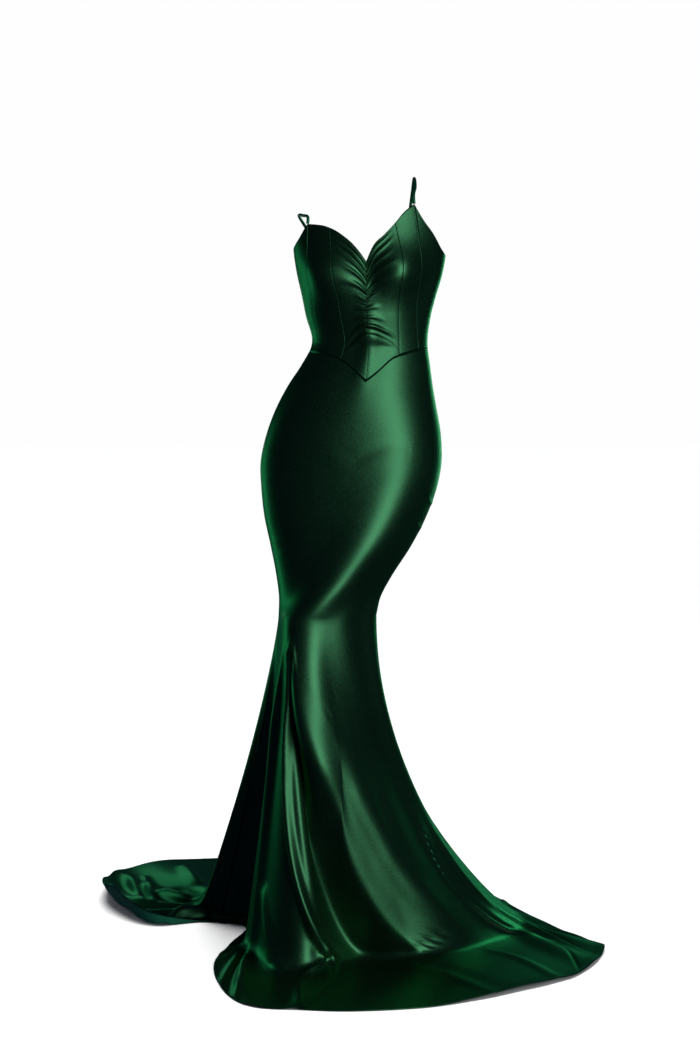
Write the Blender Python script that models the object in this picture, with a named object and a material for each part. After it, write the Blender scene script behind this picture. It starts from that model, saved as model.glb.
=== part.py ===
"""A floor-length trumpet evening gown in heavy satin, standing open as if worn.

The gown's frame has +X to the left-hand side of its wearer, -Y to the front and +Z up. Its
origin lies midway between the tops of the two shoulder straps. A point of the cloth is found
by its bearing round the gown, 0 degrees at the front and 90 degrees at +X, and by its height.
All sizes are in metres and all bearings in degrees.
"""

import math

import bpy
import numpy as np

# ---------------------------------------------------------------- driving sizes

FLOOR = -1.530              # the floor below the straps' tops
KNEE = -0.830               # where the skirt leaves the legs and flares
WALL = 0.0018               # satin and its seam turnings as one wall
SEAM_GAP = 0.0003           # left open along each seam
SIDE_SEAM_LEFT = 92.0       # bearings of the skirt's side seams
SIDE_SEAM_RIGHT = 268.0
BODICE_ROWS = 18
SKIRT_ROWS = (-1.0, -0.86, -0.72, -0.58, -0.45, -0.32, -0.20, -0.09, 0.0, 0.07, 0.15, 0.24, 0.34,
              0.45, 0.56, 0.67, 0.78, 0.87, 0.94, 1.0, 1.06, 1.14, 1.26, 1.45, 1.65, 1.80)
PLAIN_HEM_ROWS = (2.0,)
LIP_HEM_ROWS = (1.87, 1.94, 2.0)
NORMAL_STEP = 0.004         # reach down the cloth over which its normal is measured
NORMAL_TURN = 0.8           # and round it, in degrees
NORMAL_WAY = 0.008          # and down the skirt, as a share of its way
LEAST_RISE = 0.0010         # thinnest wall where the cloth lies on the floor
GATHER_INSIDE = 0.5         # share of a gather's height that shows on the cloth's inside
GATHER_FULL = 0.15          # share of a panel over which a gather keeps its full height
ROWS_TO_A_GATHER = 4
PLAIN_ROWS = 3              # rows in a gathered panel below its last gather
CLOTH_CREASE = 50.0         # bends sharper than this stay sharp
METAL_CREASE = 30.0


def table(columns, *rows):
    """The named columns of a table, as arrays."""
    values = np.array(rows, float)
    return {name: values[:, i] for i, name in enumerate(columns.split())}


# The tube of cloth from the neckline to the knees, one row for each level.
BODY = table(
    "z      centre_x centre_y width   front   back",
    (0.060,  0.0230, 0.000, 0.1380, 0.0800, 0.0850),
    (-0.020, 0.0250, 0.000, 0.1470, 0.0880, 0.0950),
    (-0.100, 0.0268, 0.000, 0.1510, 0.0960, 0.1030),
    (-0.154, 0.0268, 0.000, 0.1434, 0.0980, 0.1010),
    (-0.194, 0.0254, 0.000, 0.1330, 0.0960, 0.0960),
    (-0.234, 0.0240, 0.000, 0.1236, 0.0920, 0.0880),
    (-0.293, 0.0262, 0.002, 0.1140, 0.0850, 0.0780),
    (-0.333, 0.0185, 0.004, 0.1265, 0.0900, 0.0880),
    (-0.373, 0.0080, 0.006, 0.1423, 0.0980, 0.1020),
    (-0.413, 0.0005, 0.008, 0.1565, 0.1040, 0.1150),
    (-0.473, -0.0060, 0.010, 0.1730, 0.1100, 0.1300),
    (-0.533, -0.0115, 0.008, 0.1795, 0.1120, 0.1320),
    (-0.573, -0.0145, 0.004, 0.1750, 0.1120, 0.1260),
    (-0.633, -0.0220, -0.004, 0.1610, 0.1100, 0.1120),
    (-0.693, -0.0310, -0.014, 0.1390, 0.1060, 0.0950),
    (-0.754, -0.0445, -0.026, 0.1135, 0.1000, 0.0800),
    (-0.794, -0.0525, -0.034, 0.1005, 0.0970, 0.0720),
    (-0.830, -0.0570, -0.040, 0.0965, 0.0960, 0.0700),
)

# Rounded swellings of the tube and, with a minus, its hollows: the cups, the hollow between
# them, the front seam's ridge, the hollow beside the left cup, the seat and the knee's flank.
SWELLINGS = table(
    "bearing    z    height spread_bearing spread_z",
    (-36.0, -0.155, 0.022, 20.0, 0.045),
    (22.0, -0.150, 0.022, 18.0, 0.045),
    (0.0, -0.158, -0.010, 10.0, 0.036),
    (-1.0, -0.290, 0.006, 9.0, 0.080),
    (60.0, -0.180, -0.010, 22.0, 0.075),
    (148.0, -0.505, 0.014, 24.0, 0.070),
    (-148.0, -0.505, 0.014, 24.0, 0.070),
    (52.0, -0.850, -0.016, 26.0, 0.110),
)

# The thigh that is set forward makes one long ridge across the tight front.
THIGH_SPREAD = 26.0
THIGH = table(
    "z    bearing height",
    (-0.380, 46.0, 0.000),
    (-0.480, 40.0, 0.010),
    (-0.580, 30.0, 0.018),
    (-0.680, 18.0, 0.023),
    (-0.760, 1.0, 0.024),
    (-0.830, -29.0, 0.030),
)

# The waist seam goes once round from its point at the centre front, back to that point.
WAIST = table(
    "bearing   z",
    (3.4, -0.3643),
    (10.9, -0.3467),
    (23.2, -0.3193),
    (35.0, -0.3104),
    (48.0, -0.3045),
    (78.0, -0.2995),
    (92.0, -0.2990),
    (135.0, -0.2990),
    (180.0, -0.3000),
    (225.0, -0.3020),
    (268.0, -0.3035),
    (294.0, -0.3055),
    (318.0, -0.3115),
    (334.0, -0.3200),
    (349.0, -0.3375),
    (354.6, -0.3467),
    (363.4, -0.3643),
)

# The top edge in three runs, each from corner to corner: the left half of the neckline, the
# armholes with the back between them, and the right half of the neckline.
NECK_LEFT = table(
    "bearing   z",
    (-3.3, -0.1305),
    (1.9, -0.1013),
    (10.2, -0.0790),
    (18.2, -0.0581),
    (27.0, -0.0343),
    (36.5, -0.0182),
)
ARMS_AND_BACK = table(
    "bearing   z",
    (36.5, -0.0182),
    (43.4, -0.0452),
    (55.0, -0.0740),
    (66.0, -0.0967),
    (92.0, -0.1190),
    (120.0, -0.1300),
    (150.0, -0.1430),
    (180.0, -0.1500),
    (210.0, -0.1460),
    (225.0, -0.1380),
    (240.0, -0.1260),
    (268.0, -0.1060),
    (284.0, -0.0955),
    (294.0, -0.0829),
    (306.0, -0.0563),
)
NECK_RIGHT = table(
    "bearing   z",
    (306.0, -0.0563),
    (315.0, -0.0580),
    (324.3, -0.0613),
    (335.6, -0.0735),
    (341.1, -0.0835),
    (346.4, -0.0953),
    (351.5, -0.1110),
    (356.7, -0.1305),
)

# The bodice's seams, each from its place on the top edge (share 0) to the waist (share 1).
CENTRE_FRONT = table("share bearing", (0, -3.3), (0.34, -2.8), (0.575, -3.0), (0.77, 0.0), (1, 3.4))
PRINCESS_LEFT = table(
    "share bearing", (0, 19.0), (0.20, 21.8), (0.45, 22.8), (0.72, 27.6), (1, 30.0))
SIDE_FRONT_LEFT = table(
    "share bearing", (0, 36.5), (0.28, 39.5), (0.55, 46.0), (0.79, 53.5), (1, 58.0))
SIDE_LEFT = table("share bearing", (0, 92.0), (1, 92.0))
CENTRE_BACK = table("share bearing", (0, 180.0), (1, 180.0))
SIDE_RIGHT = table("share bearing", (0, 268.0), (1, 268.0))
SIDE_FRONT_RIGHT = table(
    "share bearing", (0, 306.0), (0.28, 306.8), (0.52, 304.6), (0.76, 300.0), (1, 296.0))
PRINCESS_RIGHT = table(
    "share bearing", (0, 328.4), (0.25, 330.8), (0.50, 332.5), (0.75, 333.5), (1, 334.5))

# The centre front once more, one turn on, for the panel that ends at it.
CENTRE_FRONT_AGAIN = {"share": CENTRE_FRONT["share"], "bearing": CENTRE_FRONT["bearing"] + 360.0}

# Gathers drawn into the centre front seam. centre and side are the shares of the two seams at
# which a gather's crest starts and ends, and reach is how far over the panel it stands.
GATHERS = table(
    "centre side  height reach",
    (0.040, 0.030, 0.0020, 0.95),
    (0.095, 0.080, 0.0026, 1.00),
    (0.150, 0.160, 0.0028, 0.90),
    (0.205, 0.260, 0.0032, 1.00),
    (0.265, 0.400, 0.0032, 1.00),
    (0.330, 0.540, 0.0016, 0.50),
    (0.400, 0.680, 0.0016, 0.50),
    (0.465, 0.800, 0.0022, 0.65),
    (0.530, 0.900, 0.0042, 1.00),
    (0.605, 0.975, 0.0040, 1.00),
)

# Each strap is a round tube from the cup's corner over the shoulder to the back's edge.
STRAP_RADIUS = 0.0032
STRAP_POINTS = 24
STRAP_LIFT = 0.0013         # clear of the edge that carries it
STRAP_RISE = 0.0120         # over which it leaves in line with the cloth
STRAP_LEFT_ROUTE = ((0.1155, -0.0420, 0.0170), (0.1144, 0.0, 0.0365), (0.1120, 0.0420, 0.0150),
                    (0.1060, 0.0780, -0.0500))
STRAP_RIGHT_ROUTE = ((-0.1060, -0.0330, -0.0385), (-0.1144, 0.0, -0.0365),
                     (-0.1080, 0.0380, -0.0480), (-0.0760, 0.0800, -0.0950))
STRAP_LEFT_BACK = 147.0     # bearings of the straps' back ends
STRAP_RIGHT_BACK = 213.0

# The concealed zip's slider and its pull, at the top of the centre back seam.
SLIDER_HEIGHT = -0.160
SLIDER_WIDTH = 0.0050
SLIDER_LENGTH = 0.0090
SLIDER_DEPTH = 0.0025
SLIDER_EAR = 0.0006
PIN_RADIUS = 0.00045
PIN_HOLE_RADIUS = 0.00075
PIN_OUT_RADIUS = 0.0012     # of the pull's knuckle, and half of an ear
PIN_OFF = 0.0040            # pin's distance from the cloth
PIN_UP = 0.0024             # and above the slider's middle
PULL_WIDTH = 0.0030
PULL_THICK = 0.0009
PULL_LENGTH = 0.0150
PULL_FLARE = 1.35

# Where each bearing of the flared skirt meets the floor (foot) and where its edge lies (hem).
# flare is the exponent of its way outwards: 1 falls straight, 2 flares late.
SKIRT = table(
    "bearing foot_x  foot_y   hem_x   hem_y  flare  curl",
    (-92.0, -0.290, 0.330, -0.318, 0.305, 1.15, 0.000),
    (-84.0, -0.212, 0.292, -0.240, 0.272, 1.15, 0.000),
    (-72.0, -0.222, 0.130, -0.262, 0.100, 1.15, 0.000),
    (-58.0, -0.210, 0.040, -0.285, -0.070, 1.15, 0.000),
    (-46.0, -0.195, -0.030, -0.270, -0.215, 1.15, 0.000),
    (-36.0, -0.170, -0.100, -0.240, -0.330, 1.15, 0.000),
    (-24.0, -0.135, -0.145, -0.190, -0.402, 1.15, 0.000),
    (-12.0, -0.095, -0.150, -0.106, -0.420, 1.20, 0.000),
    (0.0, -0.052, -0.110, -0.013, -0.430, 1.25, 0.000),
    (14.0, 0.010, -0.083, 0.125, -0.405, 1.35, 0.000),
    (28.0, 0.080, -0.056, 0.233, -0.345, 1.45, 0.000),
    (44.0, 0.162, -0.020, 0.314, -0.280, 1.60, 0.000),
    (60.0, 0.239, 0.072, 0.378, -0.225, 1.70, 0.000),
    (78.0, 0.307, 0.164, 0.440, -0.150, 1.80, 0.000),
    (92.0, 0.335, 0.230, 0.490, -0.030, 2.00, 0.000),
    (104.0, 0.344, 0.280, 0.508, 0.085, 2.10, 0.000),
    (116.0, 0.342, 0.335, 0.452, 0.190, 2.10, 0.000),
    (128.0, 0.318, 0.400, 0.390, 0.330, 1.95, 0.000),
    (142.0, 0.230, 0.470, 0.290, 0.600, 1.75, 0.000),
    (160.0, 0.060, 0.510, 0.050, 0.930, 1.65, 0.000),
    (180.0, -0.130, 0.510, -0.240, 1.010, 1.55, 0.000),
    (192.0, -0.220, 0.490, -0.430, 0.940, 1.45, 0.000),
    (204.0, -0.278, 0.450, -0.535, 0.850, 1.35, 0.000),
    (218.0, -0.312, 0.405, -0.570, 0.690, 1.30, 0.012),
    (230.0, -0.322, 0.385, -0.566, 0.510, 1.25, 0.038),
    (242.0, -0.330, 0.362, -0.520, 0.370, 1.20, 0.052),
    (256.0, -0.330, 0.345, -0.430, 0.270, 1.15, 0.028),
    (268.0, -0.290, 0.330, -0.318, 0.305, 1.15, 0.000),
)
FLOOR_BLEND = 0.09          # softness of the bend where the cloth meets the floor
LIP = 0.20                  # share of the lying cloth that turns up to a lip
FOLD_LANDS = (0.85, 1.15)   # way over which it turns from pushing out to lifting up
HEM_CALM = 0.5              # share of its height that a lying fold has lost at the hem
CALM_STARTS = 1.4           # way at which it begins to lose it

# Long folds that spread from the forward knee, down to the floor and out to the hem. Bearings
# are those of a fold's crest at the knee, at the foot and at the hem, and bend is the exponent
# with which it leaves the first for the second. start is how far down it begins, from 0 at the
# knee to 1 at the floor, and rise the way over which it comes to its full height. Left and right
# are the spreads of its two sides, in bearing, at the knee and at the foot, and edge is 1 for a
# left side that rounds off and 2 for one that stays flat and then drops.
FOLDS = table(
    "knee   foot   hem   bend start rise height floor_height"
    " knee_left foot_left edge knee_right foot_right",
    (-45.0, -52.0, -26.0, 1.0, 0.03, 0.30, 0.014, 0.006, 3.4, 4.5, 1, 3.4, 4.5),
    (-35.0, 2.0, -14.0, 2.0, 0.03, 0.35, 0.018, 0.004, 2.1, 3.4, 1, 2.1, 3.4),
    (-34.0, 19.0, 12.0, 1.4, 0.02, 0.35, -0.014, 0.000, 2.2, 5.0, 1, 4.0, 9.0),
    (-30.0, 50.0, 50.0, 1.25, -0.12, 0.50, 0.046, 0.014, 4.5, 17.0, 2, 30.0, 36.0),
    (60.0, 78.0, 88.0, 3.0, 0.35, 0.80, 0.012, 0.010, 6.0, 5.0, 1, 6.0, 5.0),
    (73.0, 92.0, 100.0, 4.0, 0.45, 0.80, 0.008, 0.014, 6.0, 5.0, 1, 6.0, 5.0),
    (-90.0, -92.0, -92.0, 1.0, 0.15, 0.80, 0.006, 0.004, 8.0, 5.0, 1, 8.0, 5.0),
    (-70.0, -66.0, -60.0, 1.0, 0.30, 0.80, 0.008, 0.004, 8.0, 5.0, 1, 8.0, 5.0),
    (125.0, 126.0, 126.0, 1.0, 0.15, 0.80, 0.010, 0.006, 12.0, 7.0, 1, 12.0, 7.0),
    (150.0, 146.0, 146.0, 1.0, 0.10, 0.80, 0.034, 0.012, 12.0, 7.0, 1, 12.0, 7.0),
    (176.0, 176.0, 172.0, 1.0, 0.10, 0.80, 0.038, 0.015, 12.0, 7.0, 1, 12.0, 7.0),
    (204.0, 204.0, 196.0, 1.0, 0.10, 0.80, 0.034, 0.020, 12.0, 8.0, 1, 12.0, 8.0),
    (228.0, 226.0, 212.0, 1.0, 0.15, 0.80, 0.020, 0.022, 10.0, 6.0, 1, 10.0, 6.0),
    (244.0, 244.0, 224.0, 1.0, 0.30, 0.80, 0.008, 0.022, 8.0, 6.0, 1, 8.0, 6.0),
    (252.0, 256.0, 238.0, 1.0, 0.40, 0.80, 0.006, 0.020, 8.0, 5.0, 1, 8.0, 5.0),
)

# Lines down each panel of the skirt, close together at its folds and swept round with them.
# columns is the number of columns of points between a line and the one before it.
FRONT_LINES = table(
    "columns knee   foot   hem   bend",
    (0, -92.0, -92.0, -92.0, 1.0),
    (5, -66.0, -72.0, -74.0, 1.0),
    (4, -51.0, -59.0, -52.0, 1.0),
    (3, -44.0, -50.0, -34.0, 1.0),
    (3, -41.5, -41.0, -26.0, 1.3),
    (3, -39.5, -14.0, -18.0, 1.7),
    (3, -37.0, 0.0, -8.0, 2.0),
    (3, -34.0, 17.0, 10.0, 1.5),
    (3, -31.0, 33.0, 30.0, 1.25),
    (3, -28.0, 47.0, 50.0, 1.15),
    (5, -10.0, 62.0, 68.0, 1.5),
    (5, 30.0, 73.0, 80.0, 2.0),
    (4, 67.0, 84.0, 89.0, 2.0),
    (2, 92.0, 92.0, 92.0, 1.0),
)
BACK_LEFT_LINES = table(
    "columns knee   foot   hem   bend",
    (0, 92.0, 92.0, 92.0, 1.0),
    (3, 108.0, 108.0, 108.0, 1.0),
    (2, 125.0, 126.0, 126.0, 1.0),
    (2, 138.0, 136.0, 136.0, 1.0),
    (3, 150.0, 146.0, 146.0, 1.0),
    (3, 163.0, 161.0, 160.0, 1.0),
    (2, 176.0, 176.0, 172.0, 1.0),
    (1, 180.0, 180.0, 180.0, 1.0),
)
BACK_RIGHT_LINES = table(
    "columns knee   foot   hem   bend",
    (0, 180.0, 180.0, 180.0, 1.0),
    (2, 192.0, 192.0, 188.0, 1.0),
    (3, 204.0, 204.0, 196.0, 1.0),
    (3, 217.0, 216.0, 205.0, 1.0),
    (3, 228.0, 226.0, 212.0, 1.0),
    (3, 237.0, 236.0, 219.0, 1.0),
    (2, 244.0, 244.0, 224.0, 1.0),
    (2, 248.0, 250.0, 231.0, 1.0),
    (2, 252.0, 256.0, 238.0, 1.0),
    (2, 259.0, 262.0, 251.0, 1.0),
    (2, 268.0, 268.0, 268.0, 1.0),
)


# ---------------------------------------------------------------- the gown's form

def curve_through(keys, values, at):
    """A smooth curve through the values at rising keys, read at the places given."""
    keys, values = np.asarray(keys, float), np.asarray(values, float)
    step = np.diff(keys)
    grade = np.diff(values) / step
    slope = np.empty_like(values)
    slope[0], slope[-1] = grade[0], grade[-1]
    slope[1:-1] = (grade[:-1] * step[1:] + grade[1:] * step[:-1]) / (step[1:] + step[:-1])
    at = np.clip(at, keys[0], keys[-1])
    left = np.clip(np.searchsorted(keys, at, side="right") - 1, 0, len(step) - 1)
    width = step[left]
    share = (at - keys[left]) / width
    rise = values[left + 1] - values[left]
    slope_in, slope_out = slope[left] * width, slope[left + 1] * width
    square, cube = share ** 2, share ** 3
    return (values[left] + slope_in * share
            + (3 * rise - 2 * slope_in - slope_out) * square
            + (slope_in + slope_out - 2 * rise) * cube)


def column(rows, key, name, at):
    """One column of a table whose rows run along the key column, smoothly read."""
    order = np.argsort(rows[key])
    return curve_through(rows[key][order], rows[name][order], at)


def round_column(rows, name, bearing):
    """One column of a table that goes once round the gown by bearing."""
    keys = rows["bearing"][:-1]
    values = rows[name][:-1]
    keys = np.concatenate((keys - 360, keys, keys + 360))
    values = np.tile(values, 3)
    return curve_through(keys, values, bearing)


def bump(distance):
    """A rounded bump, 1 at no distance and gone past three."""
    return np.exp(-distance ** 2)


def turn_between(bearing, centre):
    """Bearing measured from a centre, from -180 to 180."""
    return (bearing - centre + 180.0) % 360.0 - 180.0


def tube(bearing, z):
    """The tight part of the gown: an ellipse at each level, deeper or flatter behind."""
    angle = np.radians(bearing)
    across, ahead = np.sin(angle), np.cos(angle)
    depth = np.where(ahead > 0, column(BODY, "z", "front", z), column(BODY, "z", "back", z))
    proud = np.zeros_like(angle)
    for i in range(len(SWELLINGS["z"])):
        sideways = turn_between(bearing, SWELLINGS["bearing"][i]) / SWELLINGS["spread_bearing"][i]
        upwards = (z - SWELLINGS["z"][i]) / SWELLINGS["spread_z"][i]
        proud = proud + SWELLINGS["height"][i] * bump(sideways) * bump(upwards)
    off_ridge = turn_between(bearing, column(THIGH, "z", "bearing", z)) / THIGH_SPREAD
    in_reach = z < THIGH["z"][0]
    proud = proud + in_reach * column(THIGH, "z", "height", z) * bump(off_ridge)
    x = column(BODY, "z", "centre_x", z) + (column(BODY, "z", "width", z) + proud) * across
    y = column(BODY, "z", "centre_y", z) - (depth + proud) * ahead
    return np.stack(np.broadcast_arrays(x, y, z), axis=-1)


def smooth_step(value, start, end):
    """0 before start, 1 past end and an even S between them."""
    share = np.clip((value - start) / (end - start), 0.0, 1.0)
    return share * share * (3.0 - 2.0 * share)


def waist_height(bearing):
    """Height of the waist seam at a bearing."""
    first = WAIST["bearing"][0]
    return curve_through(WAIST["bearing"], WAIST["z"], first + (bearing - first) % 360.0)


def plain_skirt(bearing, way):
    """The skirt without its folds.

    way runs down the cloth: -1 at the waist seam, 0 at the knee, 1 where the cloth meets the
    floor and 2 at the hem. Past the knee every point leaves the knee's ring for its foot on
    the floor, and from there for its hem.
    """
    bearing, way = np.broadcast_arrays(np.asarray(bearing, float), np.asarray(way, float))
    waist = waist_height(bearing)
    tight = tube(bearing, waist + (KNEE - waist) * (1.0 + np.minimum(way, 0.0)))
    past = np.maximum(way, 0.0)
    outwards = 0.5 * (past - 1.0 + np.sqrt((past - 1.0) ** 2 + FLOOR_BLEND ** 2))
    outwards = outwards - outwards_at_knee()
    falling = np.clip(past - outwards, 0.0, 1.0)
    spread = falling ** round_column(SKIRT, "flare", bearing)
    foot = np.stack([round_column(SKIRT, "foot_" + axis, bearing) for axis in "xy"], axis=-1)
    hem = np.stack([round_column(SKIRT, "hem_" + axis, bearing) for axis in "xy"], axis=-1)
    flat = tight[..., :2] + (foot - tight[..., :2]) * spread[..., None]
    flat = flat + (hem - foot) * np.minimum(outwards, 1.0)[..., None]
    landing = 1.0 - smooth_step(past, 1.0, 2.0)
    z = tight[..., 2] + (FLOOR - KNEE) * np.where(way > 0, 1.0 - (1.0 - falling) * landing, 0.0)
    lip = round_column(SKIRT, "curl", bearing) * np.clip((past - 2.0 + LIP) / LIP, 0.0, 1.0) ** 2
    return np.concatenate((flat, (z + lip)[..., None]), axis=-1), outwards


def outwards_at_knee():
    """What the softened bend adds at the knee, taken off again so that the ring is met."""
    return 0.5 * (math.sqrt(1.0 + FLOOR_BLEND ** 2) - 1.0)


def crest_bearing(line, way):
    """Bearing of a fold or a line at a way down the skirt, from those at knee, foot and hem."""
    hanging, lying = np.clip(way, 0.0, 1.0), np.clip(way - 1.0, 0.0, 1.0)
    return (line["knee"] + (line["foot"] - line["knee"]) * hanging ** line["bend"]
            + (line["hem"] - line["foot"]) * lying)


def skirt(bearing, way):
    """The skirt with its folds: each pushes the hanging cloth out and lifts the lying cloth."""
    cloth, outwards = plain_skirt(bearing, way)
    hanging = np.clip(way, 0.0, 1.0)
    ahead, _ = plain_skirt(bearing + NORMAL_TURN, hanging)
    behind, _ = plain_skirt(bearing - NORMAL_TURN, hanging)
    along = (ahead - behind)[..., :2]
    along = along / np.linalg.norm(along, axis=-1, keepdims=True)
    push = np.zeros_like(outwards)
    lift = np.zeros_like(outwards)
    for i in range(len(FOLDS["knee"])):
        fold = {name: values[i] for name, values in FOLDS.items()}
        off_crest = turn_between(bearing, crest_bearing(fold, way))
        left = fold["knee_left"] + (fold["foot_left"] - fold["knee_left"]) * hanging
        right = fold["knee_right"] + (fold["foot_right"] - fold["knee_right"]) * hanging
        shape = bump(np.where(off_crest > 0, np.abs(off_crest) / right,
                              (np.abs(off_crest) / left) ** fold["edge"]))
        rise = smooth_step(way, fold["start"], fold["start"] + fold["rise"])
        push = push + shape * rise * fold["height"]
        lift = lift + shape * smooth_step(way, *FOLD_LANDS) * fold["floor_height"]
    push = push * (1.0 - outwards)
    lift = lift * (1.0 - HEM_CALM * smooth_step(way, CALM_STARTS, 2.0))
    x = cloth[..., 0] + along[..., 1] * push
    y = cloth[..., 1] - along[..., 0] * push
    return np.stack((x, y, cloth[..., 2] + lift), axis=-1)


# ---------------------------------------------------------------- cloth as a wall

def outward(form, first, second, first_step, second_step):
    """The cloth's unit normal, from its slopes along both parameters of its form."""
    down = form(first, second + second_step) - form(first, second - second_step)
    along = form(first + first_step, second) - form(first - first_step, second)
    normal = np.cross(down, along)
    return normal / np.linalg.norm(normal, axis=-1, keepdims=True)


def step_back(points, edges):
    """Half a seam's gap, taken off a grid of points at the edges named."""
    half = SEAM_GAP / 2
    moved = points.copy()
    for edge in edges:
        rim, inner = {
            "left": (np.s_[:, 0], np.s_[:, 1]),
            "right": (np.s_[:, -1], np.s_[:, -2]),
            "top": (np.s_[0], np.s_[1]),
            "bottom": (np.s_[-1], np.s_[-2]),
        }[edge]
        away = points[inner] - points[rim]
        moved[rim] += half * away / np.linalg.norm(away, axis=-1, keepdims=True)
    return moved


def split_quads(number, points):
    """Each square of a grid as two triangles, parted along its shorter diagonal.

    The wall's two faces are parted alike, so that they stay the same distance apart.
    """
    a, b, c, d = number[:-1, :-1], number[1:, :-1], number[1:, 1:], number[:-1, 1:]
    falling = np.linalg.norm(points[1:, 1:] - points[:-1, :-1], axis=-1)
    rising = np.linalg.norm(points[1:, :-1] - points[:-1, 1:], axis=-1)
    fall = (falling < rising)[..., None]
    first = np.where(fall, np.stack((a, b, c), axis=-1), np.stack((a, b, d), axis=-1))
    second = np.where(fall, np.stack((a, c, d), axis=-1), np.stack((b, c, d), axis=-1))
    return np.concatenate((first.reshape(-1, 3), second.reshape(-1, 3)))


def cloth_wall(name, inner, outer, edges, material):
    """A closed wall between two grids of points, sewn at the edges named.

    It is lofted here, because pieces that meet at a seam have to share their normals along it.
    """
    inner, outer = step_back(inner, edges), step_back(outer, edges)
    rows, columns = inner.shape[:2]
    number = np.arange(rows * columns).reshape(rows, columns)
    skin = split_quads(number, inner)
    outside = skin + rows * columns
    inside = skin[:, ::-1]
    rim = np.concatenate((number[0, :-1], number[:-1, -1], number[-1, :0:-1], number[:0:-1, 0]))
    next_on_rim = np.roll(rim, -1)
    across = np.stack((rim, rim + rows * columns, next_on_rim + rows * columns, next_on_rim), axis=-1)
    points = np.concatenate((inner.reshape(-1, 3), outer.reshape(-1, 3)))
    mesh = bpy.data.meshes.new(name)
    faces = [*outside.tolist(), *inside.tolist(), *across.tolist()]
    mesh.from_pydata(points.tolist(), [], faces)
    mesh.shade_smooth()
    mesh.set_sharp_from_angle(angle=math.radians(CLOTH_CREASE))
    mesh.materials.append(material)
    piece = bpy.data.objects.new(name, mesh)
    gown.objects.link(piece)
    return piece


# ---------------------------------------------------------------- the bodice's panels

def seam_points(seam, top_edge, share):
    """Bearings and heights along a seam, at shares of its way from top edge to waist."""
    bearing = curve_through(seam["share"], seam["bearing"], share)
    top = curve_through(top_edge["bearing"], top_edge["z"], seam["bearing"][0])
    bottom = waist_height(seam["bearing"][-1])
    return bearing, top + (bottom - top) * share


def bodice_places(panel, across, first_shares, second_shares):
    """Bearings and heights over a panel, filled in evenly between its four edges."""
    down = np.linspace(0.0, 1.0, len(first_shares))[:, None]
    first = seam_points(panel["first"], panel["top"], first_shares)
    second = seam_points(panel["second"], panel["top"], second_shares)
    top_bearing = first[0][0] + (second[0][0] - first[0][0]) * across
    waist_bearing = first[0][-1] + (second[0][-1] - first[0][-1]) * across
    top = curve_through(panel["top"]["bearing"], panel["top"]["z"], top_bearing)
    ends_at = (top_bearing, waist_bearing), (top, waist_height(waist_bearing))
    places = []
    for i in range(2):
        sides = first[i][:, None] * (1 - across) + second[i][:, None] * across
        ends = ends_at[i][0] * (1 - down) + ends_at[i][1] * down
        corners = ((first[i][0] * (1 - across) + second[i][0] * across) * (1 - down)
                   + (first[i][-1] * (1 - across) + second[i][-1] * across) * down)
        places.append(sides + ends - corners)
    return places


def gathered_shares(steps):
    """Shares down both seams of a gathered panel, steps rows to a gather, and its relief."""
    count = len(GATHERS["centre"])
    crest = np.arange(count + 1)
    row = np.linspace(0.0, count, count * steps + 1)
    centre = np.interp(row, crest, np.concatenate(([0.0], GATHERS["centre"])))
    side = np.interp(row, crest, np.concatenate(([0.0], GATHERS["side"])))
    wave = 0.5 + 0.5 * np.cos(2 * math.pi * row)
    nearest = np.clip(np.round(row).astype(int), 1, count) - 1
    relief = wave * GATHERS["height"][nearest] * (row >= 0.5)
    plain = np.linspace(0.0, 1.0, PLAIN_ROWS + 1)[1:]
    centre = np.concatenate((centre, centre[-1] + (1.0 - centre[-1]) * plain))
    side = np.concatenate((side, side[-1] + (1.0 - side[-1]) * plain))
    relief = np.concatenate((relief, np.zeros(PLAIN_ROWS)))
    reach = np.concatenate((GATHERS["reach"][nearest], np.ones(PLAIN_ROWS)))
    return centre, side, relief, reach


def bodice_panel(name, material, panel, gathered=None):
    """One panel of the bodice; gathered names the seam that its gathers are drawn into."""
    across = np.linspace(0.0, 1.0, panel["columns"] + 1)[None, :]
    relief = 0.0
    if gathered:
        centre, side, height, reach = gathered_shares(ROWS_TO_A_GATHER)
        shares = (centre, side) if gathered == "first" else (side, centre)
        from_seam = across if gathered == "first" else 1.0 - across
        fade = 1.0 - smooth_step(from_seam, GATHER_FULL, reach[:, None])
        relief = (height[:, None] * fade)[..., None]
    else:
        even = np.linspace(0.0, 1.0, panel["rows"] + 1)
        shares = (even, even)
    bearing, z = bodice_places(panel, across, *shares)
    base = tube(bearing, z)
    normal = outward(tube, bearing, z, NORMAL_TURN, -NORMAL_STEP)
    inner = base + normal * relief * GATHER_INSIDE
    outer = base + normal * (WALL + relief)
    return cloth_wall(name, inner, outer, panel["sewn"], material)


# ---------------------------------------------------------------- the skirt's panels

def swept(lines, waist, way):
    """Bearings of a panel's columns at each row, from those at the waist to those of its lines."""
    column_of_line = np.cumsum(lines["columns"])
    column_of_point = np.arange(len(waist))
    rows = []
    for row_way in way:
        at_lines = crest_bearing(lines, row_way)
        below = np.interp(column_of_point, column_of_line, at_lines)
        rows.append(waist + (below - waist) * smooth_step(row_way, -1.0, 0.0))
    return np.array(rows)


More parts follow.
